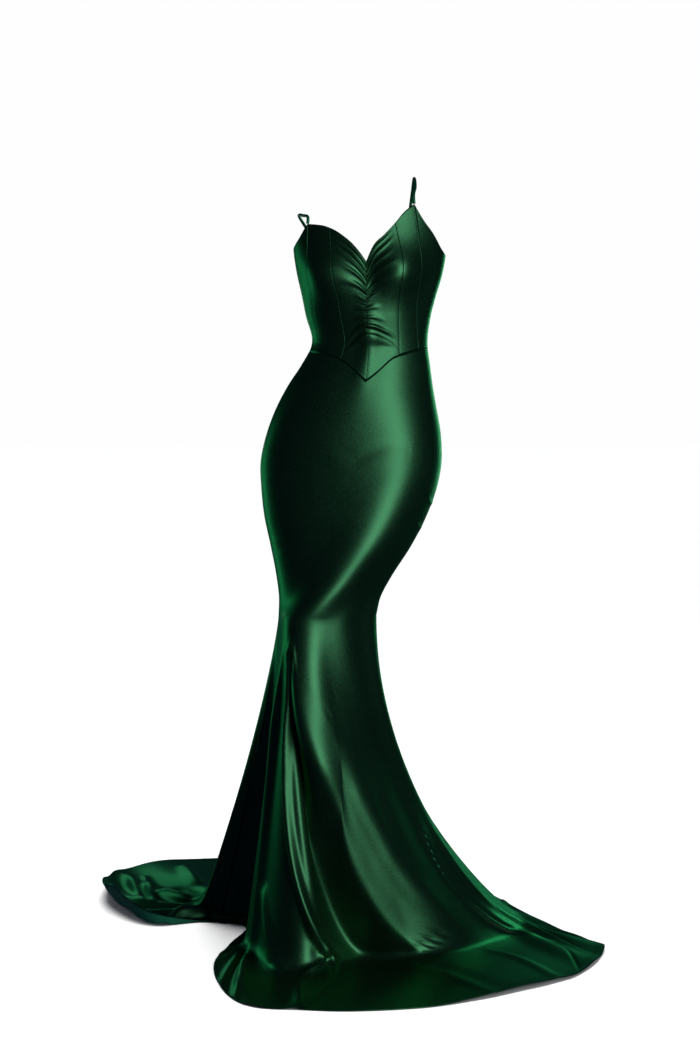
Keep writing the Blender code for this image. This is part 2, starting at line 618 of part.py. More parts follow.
def skirt_panel(name, material, waist, lines, hem_rows):
    """One panel of the skirt, from its bearings at the waist seam along its lines to the hem."""
    way = np.array(SKIRT_ROWS + hem_rows)
    bearing, way = np.broadcast_arrays(swept(lines, waist, way), way[:, None])
    inner = skirt(bearing, way)
    normal = outward(skirt, bearing, way, NORMAL_TURN, NORMAL_WAY)
    waist_normal = outward(tube, bearing[0], inner[0, :, 2], NORMAL_TURN, -NORMAL_STEP)
    normal[0] = waist_normal
    outer = inner + normal * WALL
    inner[..., 2] = np.maximum(inner[..., 2], FLOOR)
    outer[..., 2] = np.maximum(outer[..., 2], FLOOR + LEAST_RISE)
    return cloth_wall(name, inner, outer, ("left", "right", "top"), material)


# ---------------------------------------------------------------- the straps and the zip

def strap(name, material, front, route, behind):
    """A rouleau strap: a round tube on a smooth route between its ends on the top edge."""
    stops = np.array([edge_seat(*front, STRAP_LIFT), edge_seat(*front, STRAP_RISE), *route,
                      edge_seat(*behind, STRAP_RISE), edge_seat(*behind, STRAP_LIFT)])
    travelled = np.concatenate(([0.0], np.cumsum(np.linalg.norm(np.diff(stops, axis=0), axis=1))))
    places = np.linspace(0.0, travelled[-1], STRAP_POINTS)
    points = np.stack([curve_through(travelled, stops[:, i], places) for i in range(3)], axis=-1)
    curve = bpy.data.curves.new(name, "CURVE")
    curve.dimensions = "3D"
    curve.bevel_depth = STRAP_RADIUS
    curve.bevel_resolution = 2
    curve.use_fill_caps = True
    spline = curve.splines.new("POLY")
    spline.points.add(STRAP_POINTS - 1)
    for point, place in zip(spline.points, points):
        point.co = (*place, 1.0)
    curve.materials.append(material)
    piece = bpy.data.objects.new(name, curve)
    gown.objects.link(piece)
    return piece


def edge_seat(bearing, top_edge, lift):
    """A place over the middle of the wall's top edge at a bearing, in line with the cloth."""
    bearing = np.array(bearing)
    z = curve_through(top_edge["bearing"], top_edge["z"], bearing) + lift
    return tube(bearing, z) + outward(tube, bearing, z, NORMAL_TURN, -NORMAL_STEP) * WALL / 2


def box(name, low, high):
    """A box between two corners."""
    bpy.ops.mesh.primitive_cube_add(size=1.0)
    solid = bpy.context.active_object
    solid.name = name
    for vertex in solid.data.vertices:
        for i in range(3):
            vertex.co[i] = low[i] if vertex.co[i] < 0 else high[i]
    return solid


def rod(name, radius, length, place, sides):
    """A cylinder along X with its middle at a place."""
    bpy.ops.mesh.primitive_cylinder_add(vertices=sides, radius=radius, depth=length)
    solid = bpy.context.active_object
    solid.name = name
    for vertex in solid.data.vertices:
        x, y, z = vertex.co
        vertex.co = (z + place[0], y + place[1], -x + place[2])
    return solid


def worked(base, others, operation):
    """The base solid with other solids joined to it or cut from it."""
    for other in others:
        change = base.modifiers.new(operation.lower(), "BOOLEAN")
        change.operation = operation
        change.object = other
    graph = bpy.context.evaluated_depsgraph_get()
    mesh = bpy.data.meshes.new_from_object(base.evaluated_get(graph))
    base.modifiers.clear()
    base.data = mesh
    for other in others:
        bpy.data.objects.remove(other)
    return base


def finished(piece, name, material, place, lean):
    """Names a hard piece, gives it its material and sets it on the sloping back."""
    piece.name = name
    piece.data.materials.clear()
    piece.data.materials.append(material)
    piece.data.set_sharp_from_angle(angle=math.radians(METAL_CREASE))
    piece.location = place
    piece.rotation_euler = (lean, 0.0, 0.0)
    for collection in list(piece.users_collection):
        collection.objects.unlink(piece)
    gown.objects.link(piece)
    return piece


def zip_slider(material, place, lean):
    """The slider: a body over the closed chain, with two ears that hold the pull's pin."""
    half, ear = SLIDER_WIDTH / 2, SLIDER_EAR
    top = SLIDER_DEPTH
    body = box("body", (-half, SEAM_GAP, -SLIDER_LENGTH / 2), (half, top, SLIDER_LENGTH / 2))
    ears = [box("ear", (side * half - ear * (side > 0), top - ear, PIN_UP - PIN_OUT_RADIUS),
                (side * half + ear * (side < 0), PIN_OFF + PIN_OUT_RADIUS, PIN_UP + PIN_OUT_RADIUS))
            for side in (-1, 1)]
    pin = rod("pin", PIN_RADIUS, SLIDER_WIDTH - ear, (0.0, PIN_OFF, PIN_UP), 12)
    return finished(worked(body, [*ears, pin], "UNION"), "zip_slider", material, place, lean)


def zip_pull(material, place):
    """The pull: a small tab on a knuckle that turns round the slider's pin."""
    hinge = (0.0, 0.0, 0.0)
    knuckle = rod("knuckle", PIN_OUT_RADIUS, PULL_WIDTH, hinge, 16)
    tab = box("tab", (-PULL_WIDTH / 2, -PULL_THICK / 2, -PULL_LENGTH),
              (PULL_WIDTH / 2, PULL_THICK / 2, -PIN_HOLE_RADIUS))
    for vertex in tab.data.vertices:
        if vertex.co.z < -PULL_LENGTH / 2:
            vertex.co.x *= PULL_FLARE
    hole = rod("hole", PIN_HOLE_RADIUS, PULL_WIDTH * 2, hinge, 16)
    pull = worked(worked(knuckle, [tab], "UNION"), [hole], "DIFFERENCE")
    return finished(pull, "zip_pull", material, place, 0.0)


# ---------------------------------------------------------------- the gown, piece by piece

def finish(name, colour, roughness, metallic):
    """A material of one colour."""
    material = bpy.data.materials.new(name)
    material.use_nodes = True
    shader = material.node_tree.nodes["Principled BSDF"]
    shader.inputs["Base Color"].default_value = (*colour, 1.0)
    shader.inputs["Roughness"].default_value = roughness
    shader.inputs["Metallic"].default_value = metallic
    return material


def spaced(start, *runs):
    """Bearings in even runs from a start, each given by its end and its number of columns."""
    places = [start]
    for end, count in runs:
        places.extend(np.linspace(places[-1], end, count + 1)[1:])
    return np.array(places)


for leftover in list(bpy.data.objects):
    bpy.data.objects.remove(leftover)
gown = bpy.data.collections.new("evening_gown")
bpy.context.scene.collection.children.link(gown)

satin = finish("satin", (0.004, 0.075, 0.036), roughness=0.32, metallic=0.0)
strap_satin = finish("strap_satin", (0.004, 0.060, 0.030), roughness=0.38, metallic=0.0)
zip_metal = finish("zip_metal", (0.010, 0.060, 0.035), roughness=0.35, metallic=0.9)

# The bodice, round from the centre front by way of the left side. Each panel's columns match
# the skirt's below it, or are half as many, so that both keep to the waist seam.
PANELS = (
    ("bodice_front_left", CENTRE_FRONT, PRINCESS_LEFT, NECK_LEFT, 8, "first"),
    ("bodice_side_front_left", PRINCESS_LEFT, SIDE_FRONT_LEFT, NECK_LEFT, 6, None),
    ("bodice_side_left", SIDE_FRONT_LEFT, SIDE_LEFT, ARMS_AND_BACK, 4, None),
    ("bodice_back_left", SIDE_LEFT, CENTRE_BACK, ARMS_AND_BACK, 8, None),
    ("bodice_back_right", CENTRE_BACK, SIDE_RIGHT, ARMS_AND_BACK, 8, None),
    ("bodice_side_right", SIDE_RIGHT, SIDE_FRONT_RIGHT, ARMS_AND_BACK, 4, None),
    ("bodice_side_front_right", SIDE_FRONT_RIGHT, PRINCESS_RIGHT, NECK_RIGHT, 6, None),
    ("bodice_front_right", PRINCESS_RIGHT, CENTRE_FRONT_AGAIN, NECK_RIGHT, 8, "second"),
)
for name, first, second, top_edge, columns, gathered in PANELS:
    panel = {"first": first, "second": second, "top": top_edge, "columns": columns,
             "rows": BODICE_ROWS, "sewn": ("left", "right", "bottom")}
    bodice_panel(name, satin, panel, gathered)

side_right, back, side_left = SIDE_SEAM_RIGHT - 360, 180.0, SIDE_SEAM_LEFT
at_waist = {name: seam["bearing"][-1] for name, seam in (
    ("side_front_right", SIDE_FRONT_RIGHT), ("princess_right", PRINCESS_RIGHT),
    ("centre", CENTRE_FRONT), ("princess_left", PRINCESS_LEFT),
    ("side_front_left", SIDE_FRONT_LEFT))}
front_waist = spaced(side_right, (at_waist["side_front_right"] - 360, 4),
                     (at_waist["princess_right"] - 360, 12), (at_waist["centre"], 8),
                     (at_waist["princess_left"], 8), (at_waist["side_front_left"], 6),
                     (side_left, 8))
skirt_panel("skirt_front", satin, front_waist, FRONT_LINES, PLAIN_HEM_ROWS)
skirt_panel("skirt_back_left", satin, spaced(side_left, (back, 16)), BACK_LEFT_LINES,
            PLAIN_HEM_ROWS)
skirt_panel("skirt_back_right", satin, spaced(back, (side_right + 360, 24)), BACK_RIGHT_LINES,
            LIP_HEM_ROWS)

strap("strap_left", strap_satin, (NECK_LEFT["bearing"][-1], NECK_LEFT), STRAP_LEFT_ROUTE,
      (STRAP_LEFT_BACK, ARMS_AND_BACK))
strap("strap_right", strap_satin, (NECK_RIGHT["bearing"][0], NECK_RIGHT), STRAP_RIGHT_ROUTE,
      (STRAP_RIGHT_BACK, ARMS_AND_BACK))

# The slider leans with the back, and the pull hangs straight down from its pin.
behind, level = np.array(back), np.array(SLIDER_HEIGHT)
outwards = outward(tube, behind, level, NORMAL_TURN, -NORMAL_STEP)
seat = tube(behind, level) + outwards * WALL
lean = math.atan2(outwards[2], outwards[1])
upright = np.array((0.0, -math.sin(lean), math.cos(lean)))
zip_slider(zip_metal, seat, lean)
zip_pull(zip_metal, seat + outwards * PIN_OFF + upright * PIN_UP)
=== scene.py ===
"""The looks of a floor-length trumpet evening gown in heavy satin, standing open as if worn.

The frame has +X to the left-hand side of the gown's wearer, -Y to the front and +Z up. A point of
the cloth is found by its bearing round the gown, 0 degrees at the front and 90 degrees at +X, and
by its height or by its way down the skirt. Sizes are in metres and bearings in degrees.
"""

import math

import bpy
import numpy as np
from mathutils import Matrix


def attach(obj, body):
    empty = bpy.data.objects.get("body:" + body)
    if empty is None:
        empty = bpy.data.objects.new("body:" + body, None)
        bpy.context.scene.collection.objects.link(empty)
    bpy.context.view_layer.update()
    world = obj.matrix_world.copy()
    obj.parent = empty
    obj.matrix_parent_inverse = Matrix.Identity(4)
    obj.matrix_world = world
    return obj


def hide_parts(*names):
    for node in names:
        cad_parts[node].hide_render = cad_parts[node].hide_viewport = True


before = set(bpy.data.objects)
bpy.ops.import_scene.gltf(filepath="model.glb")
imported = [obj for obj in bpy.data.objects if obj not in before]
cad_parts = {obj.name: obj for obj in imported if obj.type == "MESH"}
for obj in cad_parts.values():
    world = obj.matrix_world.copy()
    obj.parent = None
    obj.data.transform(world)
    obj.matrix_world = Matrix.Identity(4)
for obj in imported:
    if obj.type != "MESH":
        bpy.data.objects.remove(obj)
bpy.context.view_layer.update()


# ---------------------------------------------------------------- the bodice's panels
# Eight panels of heavy satin, cut to the bust and the waist and joined by pressed seams. The two
# front panels are gathered into the centre front seam, whose puckers fan out over the bust, and
# every edge is rounded between the cloth's right side and its wrong side.

WALL = 0.0018               # from the solids' inner face to the right side of the satin
CLOTH = 0.0012              # satin and its backing, as it shows at an edge
SEAM_BITE = 0.0003          # how far two sewn edges press into each other
EDGE_ROUND = 0.0002         # how far an edge's round stands out
EDGE_STEPS = 4              # facets round a cloth edge
PRESSED_DEPTH = 0.0002      # how far a pressed seam pulls the cloth down beside it
PRESSED_WIDTH = 0.0035
NORMAL_STEP = 0.004         # steps down and round the cloth over which its normal is taken
NORMAL_TURN = 0.8
ROWS_TO_A_GATHER = 14
PLAIN_ROWS = 22             # rows of a gathered panel below its last gather
GATHERS_END = 6             # rows over which the gathers fade out there
FRONT_COLUMNS = 76
GATHER_FULL = 0.15          # share of the panel over which a gather keeps its full height
GATHER_SHARPNESS = 1.6      # exponent of a gather's wave, so that crests are narrow
PUCKERS_TO_A_GATHER = 2
PUCKER_HEIGHT = 0.0007
PUCKER_DRIFT = 3.1          # radians a gather by which the puckers stray from an even spacing
PUCKER_REACH = 0.16         # share of the panel over which the seam's puckers die away


def table(columns, *rows):
    """The named columns of a table, as arrays."""
    values = np.array(rows, float)
    return {name: values[:, i] for i, name in enumerate(columns.split())}


BODY = table(
    "z      centre_x centre_y width   front   back",
    (0.060,  0.0230, 0.000, 0.1380, 0.0800, 0.0850),
    (-0.020, 0.0250, 0.000, 0.1470, 0.0880, 0.0950),
    (-0.100, 0.0268, 0.000, 0.1510, 0.0960, 0.1030),
    (-0.154, 0.0268, 0.000, 0.1434, 0.0980, 0.1010),
    (-0.194, 0.0254, 0.000, 0.1330, 0.0960, 0.0960),
    (-0.234, 0.0240, 0.000, 0.1236, 0.0920, 0.0880),
    (-0.293, 0.0262, 0.002, 0.1140, 0.0850, 0.0780),
    (-0.333, 0.0185, 0.004, 0.1265, 0.0900, 0.0880),
    (-0.373, 0.0080, 0.006, 0.1423, 0.0980, 0.1020),
    (-0.413, 0.0005, 0.008, 0.1565, 0.1040, 0.1150),
    (-0.473, -0.0060, 0.010, 0.1730, 0.1100, 0.1300),
    (-0.533, -0.0115, 0.008, 0.1795, 0.1120, 0.1320),
    (-0.573, -0.0145, 0.004, 0.1750, 0.1120, 0.1260),
    (-0.633, -0.0220, -0.004, 0.1610, 0.1100, 0.1120),
    (-0.693, -0.0310, -0.014, 0.1390, 0.1060, 0.0950),
    (-0.754, -0.0445, -0.026, 0.1135, 0.1000, 0.0800),
    (-0.794, -0.0525, -0.034, 0.1005, 0.0970, 0.0720),
    (-0.830, -0.0570, -0.040, 0.0965, 0.0960, 0.0700),
)
SWELLINGS = table(
    "bearing    z    height spread_bearing spread_z",
    (-36.0, -0.155, 0.022, 20.0, 0.045),
    (22.0, -0.150, 0.022, 18.0, 0.045),
    (0.0, -0.158, -0.010, 10.0, 0.036),
    (-1.0, -0.290, 0.006, 9.0, 0.080),
    (60.0, -0.180, -0.010, 22.0, 0.075),
    (148.0, -0.505, 0.014, 24.0, 0.070),
    (-148.0, -0.505, 0.014, 24.0, 0.070),
    (52.0, -0.850, -0.016, 26.0, 0.110),
)
WAIST = table(
    "bearing   z",
    (3.4, -0.3643), (10.9, -0.3467), (23.2, -0.3193), (35.0, -0.3104), (48.0, -0.3045),
    (78.0, -0.2995), (92.0, -0.2990), (135.0, -0.2990), (180.0, -0.3000), (225.0, -0.3020),
    (268.0, -0.3035), (294.0, -0.3055), (318.0, -0.3115), (334.0, -0.3200), (349.0, -0.3375),
    (354.6, -0.3467), (363.4, -0.3643),
)
NECK_LEFT = table(
    "bearing   z",
    (-3.3, -0.1305), (1.9, -0.1013), (10.2, -0.0790), (18.2, -0.0581), (27.0, -0.0343),
    (36.5, -0.0182),
)
ARMS_AND_BACK = table(
    "bearing   z",
    (36.5, -0.0182), (43.4, -0.0452), (55.0, -0.0740), (66.0, -0.0967), (92.0, -0.1190),
    (120.0, -0.1300), (150.0, -0.1430), (180.0, -0.1500), (210.0, -0.1460), (225.0, -0.1380),
    (240.0, -0.1260), (268.0, -0.1060), (284.0, -0.0955), (294.0, -0.0829), (306.0, -0.0563),
)
NECK_RIGHT = table(
    "bearing   z",
    (306.0, -0.0563), (315.0, -0.0580), (324.3, -0.0613), (335.6, -0.0735), (341.1, -0.0835),
    (346.4, -0.0953), (351.5, -0.1110), (356.7, -0.1305),
)
CENTRE_FRONT = table("share bearing", (0, -3.3), (0.34, -2.8), (0.575, -3.0), (0.77, 0.0), (1, 3.4))
PRINCESS_LEFT = table(
    "share bearing", (0, 19.0), (0.20, 21.8), (0.45, 22.8), (0.72, 27.6), (1, 30.0))
SIDE_FRONT_LEFT = table(
    "share bearing", (0, 36.5), (0.28, 39.5), (0.55, 46.0), (0.79, 53.5), (1, 58.0))
SIDE_LEFT = table("share bearing", (0, 92.0), (1, 92.0))
CENTRE_BACK = table("share bearing", (0, 180.0), (1, 180.0))
SIDE_RIGHT = table("share bearing", (0, 268.0), (1, 268.0))
SIDE_FRONT_RIGHT = table(
    "share bearing", (0, 306.0), (0.28, 306.8), (0.52, 304.6), (0.76, 300.0), (1, 296.0))
PRINCESS_RIGHT = table(
    "share bearing", (0, 328.4), (0.25, 330.8), (0.50, 332.5), (0.75, 333.5), (1, 334.5))
CENTRE_FRONT_AGAIN = {"share": CENTRE_FRONT["share"], "bearing": CENTRE_FRONT["bearing"] + 360.0}

# Gathers of the front panels: the shares of the two seams at which a crest starts and ends, and
# how far over the panel it stands.
GATHERS = table(
    "centre side  height reach",
    (0.040, 0.030, 0.0020, 0.95),
    (0.095, 0.080, 0.0026, 1.00),
    (0.150, 0.160, 0.0028, 0.90),
    (0.205, 0.260, 0.0032, 1.00),
    (0.265, 0.400, 0.0032, 1.00),
    (0.330, 0.540, 0.0016, 0.50),
    (0.400, 0.680, 0.0016, 0.50),
    (0.465, 0.800, 0.0022, 0.65),
    (0.530, 0.900, 0.0042, 1.00),
    (0.605, 0.975, 0.0040, 1.00),
)


def curve_through(keys, values, at):
    """Cubic pieces through the values at rising keys, each slope the mean of its neighbours'."""
    keys, values = np.asarray(keys, float), np.asarray(values, float)
    step = np.diff(keys)
    grade = np.diff(values) / step
    slope = np.empty_like(values)
    slope[0], slope[-1] = grade[0], grade[-1]
    slope[1:-1] = (grade[:-1] * step[1:] + grade[1:] * step[:-1]) / (step[1:] + step[:-1])
    at = np.clip(at, keys[0], keys[-1])
    left = np.clip(np.searchsorted(keys, at, side="right") - 1, 0, len(step) - 1)
    width = step[left]
    share = (at - keys[left]) / width
    rise = values[left + 1] - values[left]
    slope_in, slope_out = slope[left] * width, slope[left + 1] * width
    return (values[left] + slope_in * share
            + (3 * rise - 2 * slope_in - slope_out) * share ** 2
            + (slope_in + slope_out - 2 * rise) * share ** 3)


def column(rows, key, name, at):
    """One column of a table whose rows run along the key column, smoothly read."""
    order = np.argsort(rows[key])
    return curve_through(rows[key][order], rows[name][order], at)


def bump(distance):
    """e to the minus distance squared: a rounded bump, 1 in the middle and gone past three."""
    return np.exp(-distance ** 2)


def smooth_step(value, start, end):
    """0 before start, 1 past end and 3s^2 - 2s^3 of the share s between them."""
    share = np.clip((value - start) / (end - start), 0.0, 1.0)
    return share * share * (3.0 - 2.0 * share)


def turn_between(bearing, centre):
    """Bearing measured from a centre, from -180 to 180."""
    return (bearing - centre + 180.0) % 360.0 - 180.0


def tube(bearing, z, proud=0.0):
    """The close-fitting cloth: at each level half an ellipse in front and another behind, made
    wider by the rounded swellings and by whatever else stands proud."""
    angle = np.radians(bearing)
    across, ahead = np.sin(angle), np.cos(angle)
    depth = np.where(ahead > 0, column(BODY, "z", "front", z), column(BODY, "z", "back", z))
    for i in range(len(SWELLINGS["z"])):
        sideways = turn_between(bearing, SWELLINGS["bearing"][i]) / SWELLINGS["spread_bearing"][i]
        upwards = (z - SWELLINGS["z"][i]) / SWELLINGS["spread_z"][i]
        proud = proud + SWELLINGS["height"][i] * bump(sideways) * bump(upwards)
    x = column(BODY, "z", "centre_x", z) + (column(BODY, "z", "width", z) + proud) * across
    y = column(BODY, "z", "centre_y", z) - (depth + proud) * ahead
    return np.stack(np.broadcast_arrays(x, y, z), axis=-1)


def waist_height(bearing):
    """Height of the waist seam at a bearing."""
    first = WAIST["bearing"][0]
    return curve_through(WAIST["bearing"], WAIST["z"], first + (bearing - first) % 360.0)


def unit(vectors):
    """Vectors over their lengths."""
    return vectors / np.maximum(np.linalg.norm(vectors, axis=-1, keepdims=True), 1e-12)


def outward(form, first, second, first_step, second_step):
    """The unit normal of a form: the cross product of its slopes along both parameters."""
    down = form(first, second + second_step) - form(first, second - second_step)
    along = form(first + first_step, second) - form(first - first_step, second)
    return unit(np.cross(down, along))


def seam_points(seam, top_edge, share):
    """Bearings and heights along a seam, at shares of its way from top edge to waist."""
    bearing = curve_through(seam["share"], seam["bearing"], share)
    top = curve_through(top_edge["bearing"], top_edge["z"], seam["bearing"][0])
    bottom = waist_height(seam["bearing"][-1])
    return bearing, top + (bottom - top) * share


def panel_places(panel, across, first_shares, second_shares):
    """Bearings and heights over a panel, filled in between its four edges as a Coons patch."""
    down = np.linspace(0.0, 1.0, len(first_shares))[:, None]
    first = seam_points(panel["first"], panel["top"], first_shares)
    second = seam_points(panel["second"], panel["top"], second_shares)
    top_bearing = first[0][0] + (second[0][0] - first[0][0]) * across
    waist_bearing = first[0][-1] + (second[0][-1] - first[0][-1]) * across
    top = curve_through(panel["top"]["bearing"], panel["top"]["z"], top_bearing)
    ends_at = (top_bearing, waist_bearing), (top, waist_height(waist_bearing))
    places = []
    for i in range(2):
        sides = first[i][:, None] * (1 - across) + second[i][:, None] * across
        ends = ends_at[i][0] * (1 - down) + ends_at[i][1] * down
        corners = ((first[i][0] * (1 - across) + second[i][0] * across) * (1 - down)
                   + (first[i][-1] * (1 - across) + second[i][-1] * across) * down)
        places.append(sides + ends - corners)
    return places


def gathered_shares():
    """Shares down both seams of a gathered panel, and each row's place among the gathers."""
    count = len(GATHERS["centre"])
    crest = np.arange(count + 1)
    row = np.linspace(0.0, count, count * ROWS_TO_A_GATHER + 1)
    plain = np.linspace(0.0, 1.0, PLAIN_ROWS + 1)[1:]
    shares = []
    for name in ("centre", "side"):
        drawn = np.interp(row, crest, np.concatenate(([0.0], GATHERS[name])))
        shares.append(np.concatenate((drawn, drawn[-1] + (1.0 - drawn[-1]) * plain)))
    return (*shares, np.concatenate((row, np.full(PLAIN_ROWS, float(count)))))


def gather_relief(row, from_seam):
    """Height of the gathers: a cosine wave from crest to crest, narrowed by an exponent, full at
    the seam and dying away at the gather's reach, with small puckers close beside the seam."""
    count = len(GATHERS["centre"])
    nearest = np.clip(np.round(row).astype(int), 1, count) - 1
    gathered = (row >= 0.5) * (1.0 - smooth_step(np.arange(len(row)), len(row) - PLAIN_ROWS,
                                                 len(row) - PLAIN_ROWS + GATHERS_END))
    wave = (0.5 + 0.5 * np.cos(2 * math.pi * row)) ** GATHER_SHARPNESS
    fade = 1.0 - smooth_step(from_seam, GATHER_FULL, GATHERS["reach"][nearest][:, None])
    tall = (wave * GATHERS["height"][nearest] * gathered)[:, None] * fade
    pucker = np.cos(2 * math.pi * row * PUCKERS_TO_A_GATHER + np.sin(PUCKER_DRIFT * row))
    close = np.exp(-from_seam / PUCKER_REACH)
    return tall + PUCKER_HEIGHT * (pucker * gathered)[:, None] * close


def border_of(grid):
    """The values on a grid's border, once round."""
    return np.concatenate((grid[0, :-1], grid[:-1, -1], grid[-1, :0:-1], grid[:0:-1, 0]))


def stepped_back(points, by):
    """A grid whose border rows and columns are moved inwards by a length."""
    moved = points.copy()
    for rim, inner in ((np.s_[:, 0], np.s_[:, 1]), (np.s_[:, -1], np.s_[:, -2]),
                       (np.s_[0], np.s_[1]), (np.s_[-1], np.s_[-2])):
        moved[rim] += by * unit(points[inner] - points[rim])
    return moved


def lengths_along(points, axis):
    """Distance travelled over a grid's points along one axis."""
    steps = np.linalg.norm(np.diff(points, axis=axis), axis=-1)
    start = np.zeros_like(np.take(steps, [0], axis=axis))
    return np.cumsum(np.concatenate((start, steps), axis=axis), axis=axis)


def placed(name, data):
    """A new object of the data, put in the scene."""
    holder = bpy.data.objects.new(name, data)
    bpy.context.scene.collection.objects.link(holder)
    return holder


def cloth_piece(name, face, normal, materials):
    """A sheet of cloth with its right side on a grid of points and its wrong side a thickness
    behind. Its four edges are rounded between the two, so that neighbours meet in a fine groove."""
    face = stepped_back(face, EDGE_ROUND - SEAM_BITE / 2)
    back = face - normal * CLOTH
    rows, columns = face.shape[:2]
    number = np.arange(rows * columns).reshape(rows, columns)
    rim = border_of(number)
    outside = np.zeros_like(face)
    for edge, inner in ((np.s_[:, 0], np.s_[:, 1]), (np.s_[:, -1], np.s_[:, -2]),
                        (np.s_[0], np.s_[1]), (np.s_[-1], np.s_[-2])):
        outside[edge] += unit(face[edge] - face[inner])
    away = border_of(outside)
    up = border_of(normal)
    away = unit(away - up * np.sum(away * up, axis=-1, keepdims=True))
    middle = (border_of(face) + border_of(back)) / 2
    turns = np.linspace(0.0, math.pi, EDGE_STEPS + 1)[1:-1]
    rings = [middle + CLOTH / 2 * math.cos(turn) * up + EDGE_ROUND * math.sin(turn) * away
             for turn in turns]
    points = np.concatenate((face.reshape(-1, 3), back.reshape(-1, 3), *rings))
    first_ring = 2 * rows * columns
    loops = [rim, *(first_ring + i * len(rim) + np.arange(len(rim)) for i in range(len(rings))),
             rim + rows * columns]
    squares = np.stack((number[:-1, :-1], number[1:, :-1], number[1:, 1:], number[:-1, 1:]),
                       axis=-1).reshape(-1, 4)
    strips = [np.stack((a, b, np.roll(b, -1), np.roll(a, -1)), axis=-1)
              for a, b in zip(loops[:-1], loops[1:])]
    faces = np.concatenate((squares, squares[:, ::-1] + rows * columns, *strips))
    mesh = bpy.data.meshes.new(name)
    mesh.vertices.add(len(points))
    mesh.vertices.foreach_set("co", points.astype(np.float32).ravel())
    mesh.loops.add(faces.size)
    mesh.loops.foreach_set("vertex_index", faces.astype(np.int32).ravel())
    mesh.polygons.add(len(faces))
    mesh.polygons.foreach_set("loop_start", np.arange(0, faces.size, 4, dtype=np.int32))
    mesh.update(calc_edges=True)
    wrong_side = np.zeros(len(faces), np.int32)
    wrong_side[len(squares):2 * len(squares)] = 1
    mesh.polygons.foreach_set("material_index", wrong_side)
    along, down = lengths_along(face, 1), lengths_along(face, 0)
    flat = np.stack((along - along[:, -1:] / 2, down), axis=-1)
    flat = np.concatenate((flat.reshape(-1, 2), flat.reshape(-1, 2),
                           *[border_of(flat)] * len(rings)))
    uv = mesh.uv_layers.new(name="cut")
    uv.data.foreach_set("uv", flat[faces.ravel()].astype(np.float32).ravel())
    mesh.shade_smooth()
    for material in materials:
        mesh.materials.append(material)
    return placed(name, mesh)


def pressed(face, normal, edges):
    """The cloth beside a sewn edge, pulled down by the seam and easing up over its width."""
    down, along = lengths_along(face, 0), lengths_along(face, 1)
    to_edge = {"left": along, "right": along[:, -1:] - along,
               "top": down, "bottom": down[-1:] - down}
    dip = sum(PRESSED_DEPTH * bump(to_edge[edge] / PRESSED_WIDTH) for edge in edges)
    return face - normal * dip[..., None]


class Nodes:
    """A material's node tree, with one call to add a node and set or link its inputs."""

    def __init__(self, name):
        self.material = bpy.data.materials.new(name)
        self.material.use_nodes = True
        self.tree = self.material.node_tree
        self.shader = self.tree.nodes["Principled BSDF"]

    def add(self, kind, settings=(), **inputs):
        node = self.tree.nodes.new("ShaderNode" + kind)
        for key, value in dict(settings).items():
            setattr(node, key, value)
        self.put(node, **inputs)
        return node

    def put(self, node, **inputs):
        for key, value in inputs.items():
            socket = node.inputs[int(key[1:])] if key[1:].isdigit() else (
                node.inputs[key.replace("_", " ")])
            if isinstance(value, bpy.types.NodeSocket):
                self.tree.links.new(value, socket)
            else:
                socket.default_value = value


def satin_finish(name, deep, bright, shine, roughness):
    """Satin: long floats of smooth thread. Its body colour is nearly black where it is turned
    away and its shine is green, grained by the thread and uneven where the cloth was handled."""
    nodes = Nodes(name)
    place = nodes.add("TexCoord")
    floats = nodes.add("Mapping", Vector=place.outputs["UV"], Scale=(1.0, 0.22, 1.0))
    thread = nodes.add("TexNoise", Vector=floats.outputs[0], Scale=1500.0, Detail=2.0)
    grain = nodes.add("TexNoise", Vector=place.outputs["Object"], Scale=420.0, Detail=3.0)
    handled = nodes.add("TexNoise", Vector=place.outputs["Object"], Scale=9.0, Detail=3.0)
    mixed = nodes.add("Math", {"operation": "ADD"}, _0=thread.outputs[0], _1=grain.outputs[0])
    rough = nodes.add("MapRange", _0=mixed.outputs[0], _1=0.7, _2=1.3,
                      _3=roughness - 0.07, _4=roughness + 0.07)
    tone = nodes.add("MapRange", _0=handled.outputs[0], _1=0.3, _2=0.7, _3=0.0, _4=1.0)
    speckle = nodes.add("MapRange", _0=mixed.outputs[0], _1=0.75, _2=1.25, _3=0.72, _4=1.28)
    colour = nodes.add("Mix", {"data_type": "RGBA"}, _0=tone.outputs[0],
                       _6=(*deep, 1.0), _7=(*bright, 1.0))
    grained = nodes.add("VectorMath", {"operation": "SCALE"}, _0=colour.outputs[2],
                        Scale=speckle.outputs[0])
    relief = nodes.add("Bump", Strength=0.22, Distance=0.00025, Height=mixed.outputs[0])
    nodes.put(nodes.shader, Base_Color=grained.outputs[0], Roughness=rough.outputs[0],
              Metallic=shine, Specular_IOR_Level=0.35, Specular_Tint=(0.35, 1.0, 0.55, 1.0),
              Sheen_Weight=0.01, Sheen_Roughness=0.4, Sheen_Tint=(0.15, 0.8, 0.4, 1.0),
              Normal=relief.outputs[0])
    return nodes.material


satin = satin_finish("satin", (0.0150, 0.064, 0.029), (0.0190, 0.078, 0.035), 0.93, 0.39)
satin_back = satin_finish("satin_wrong_side", (0.012, 0.140, 0.075), (0.018, 0.180, 0.098),
                          0.10, 0.60)

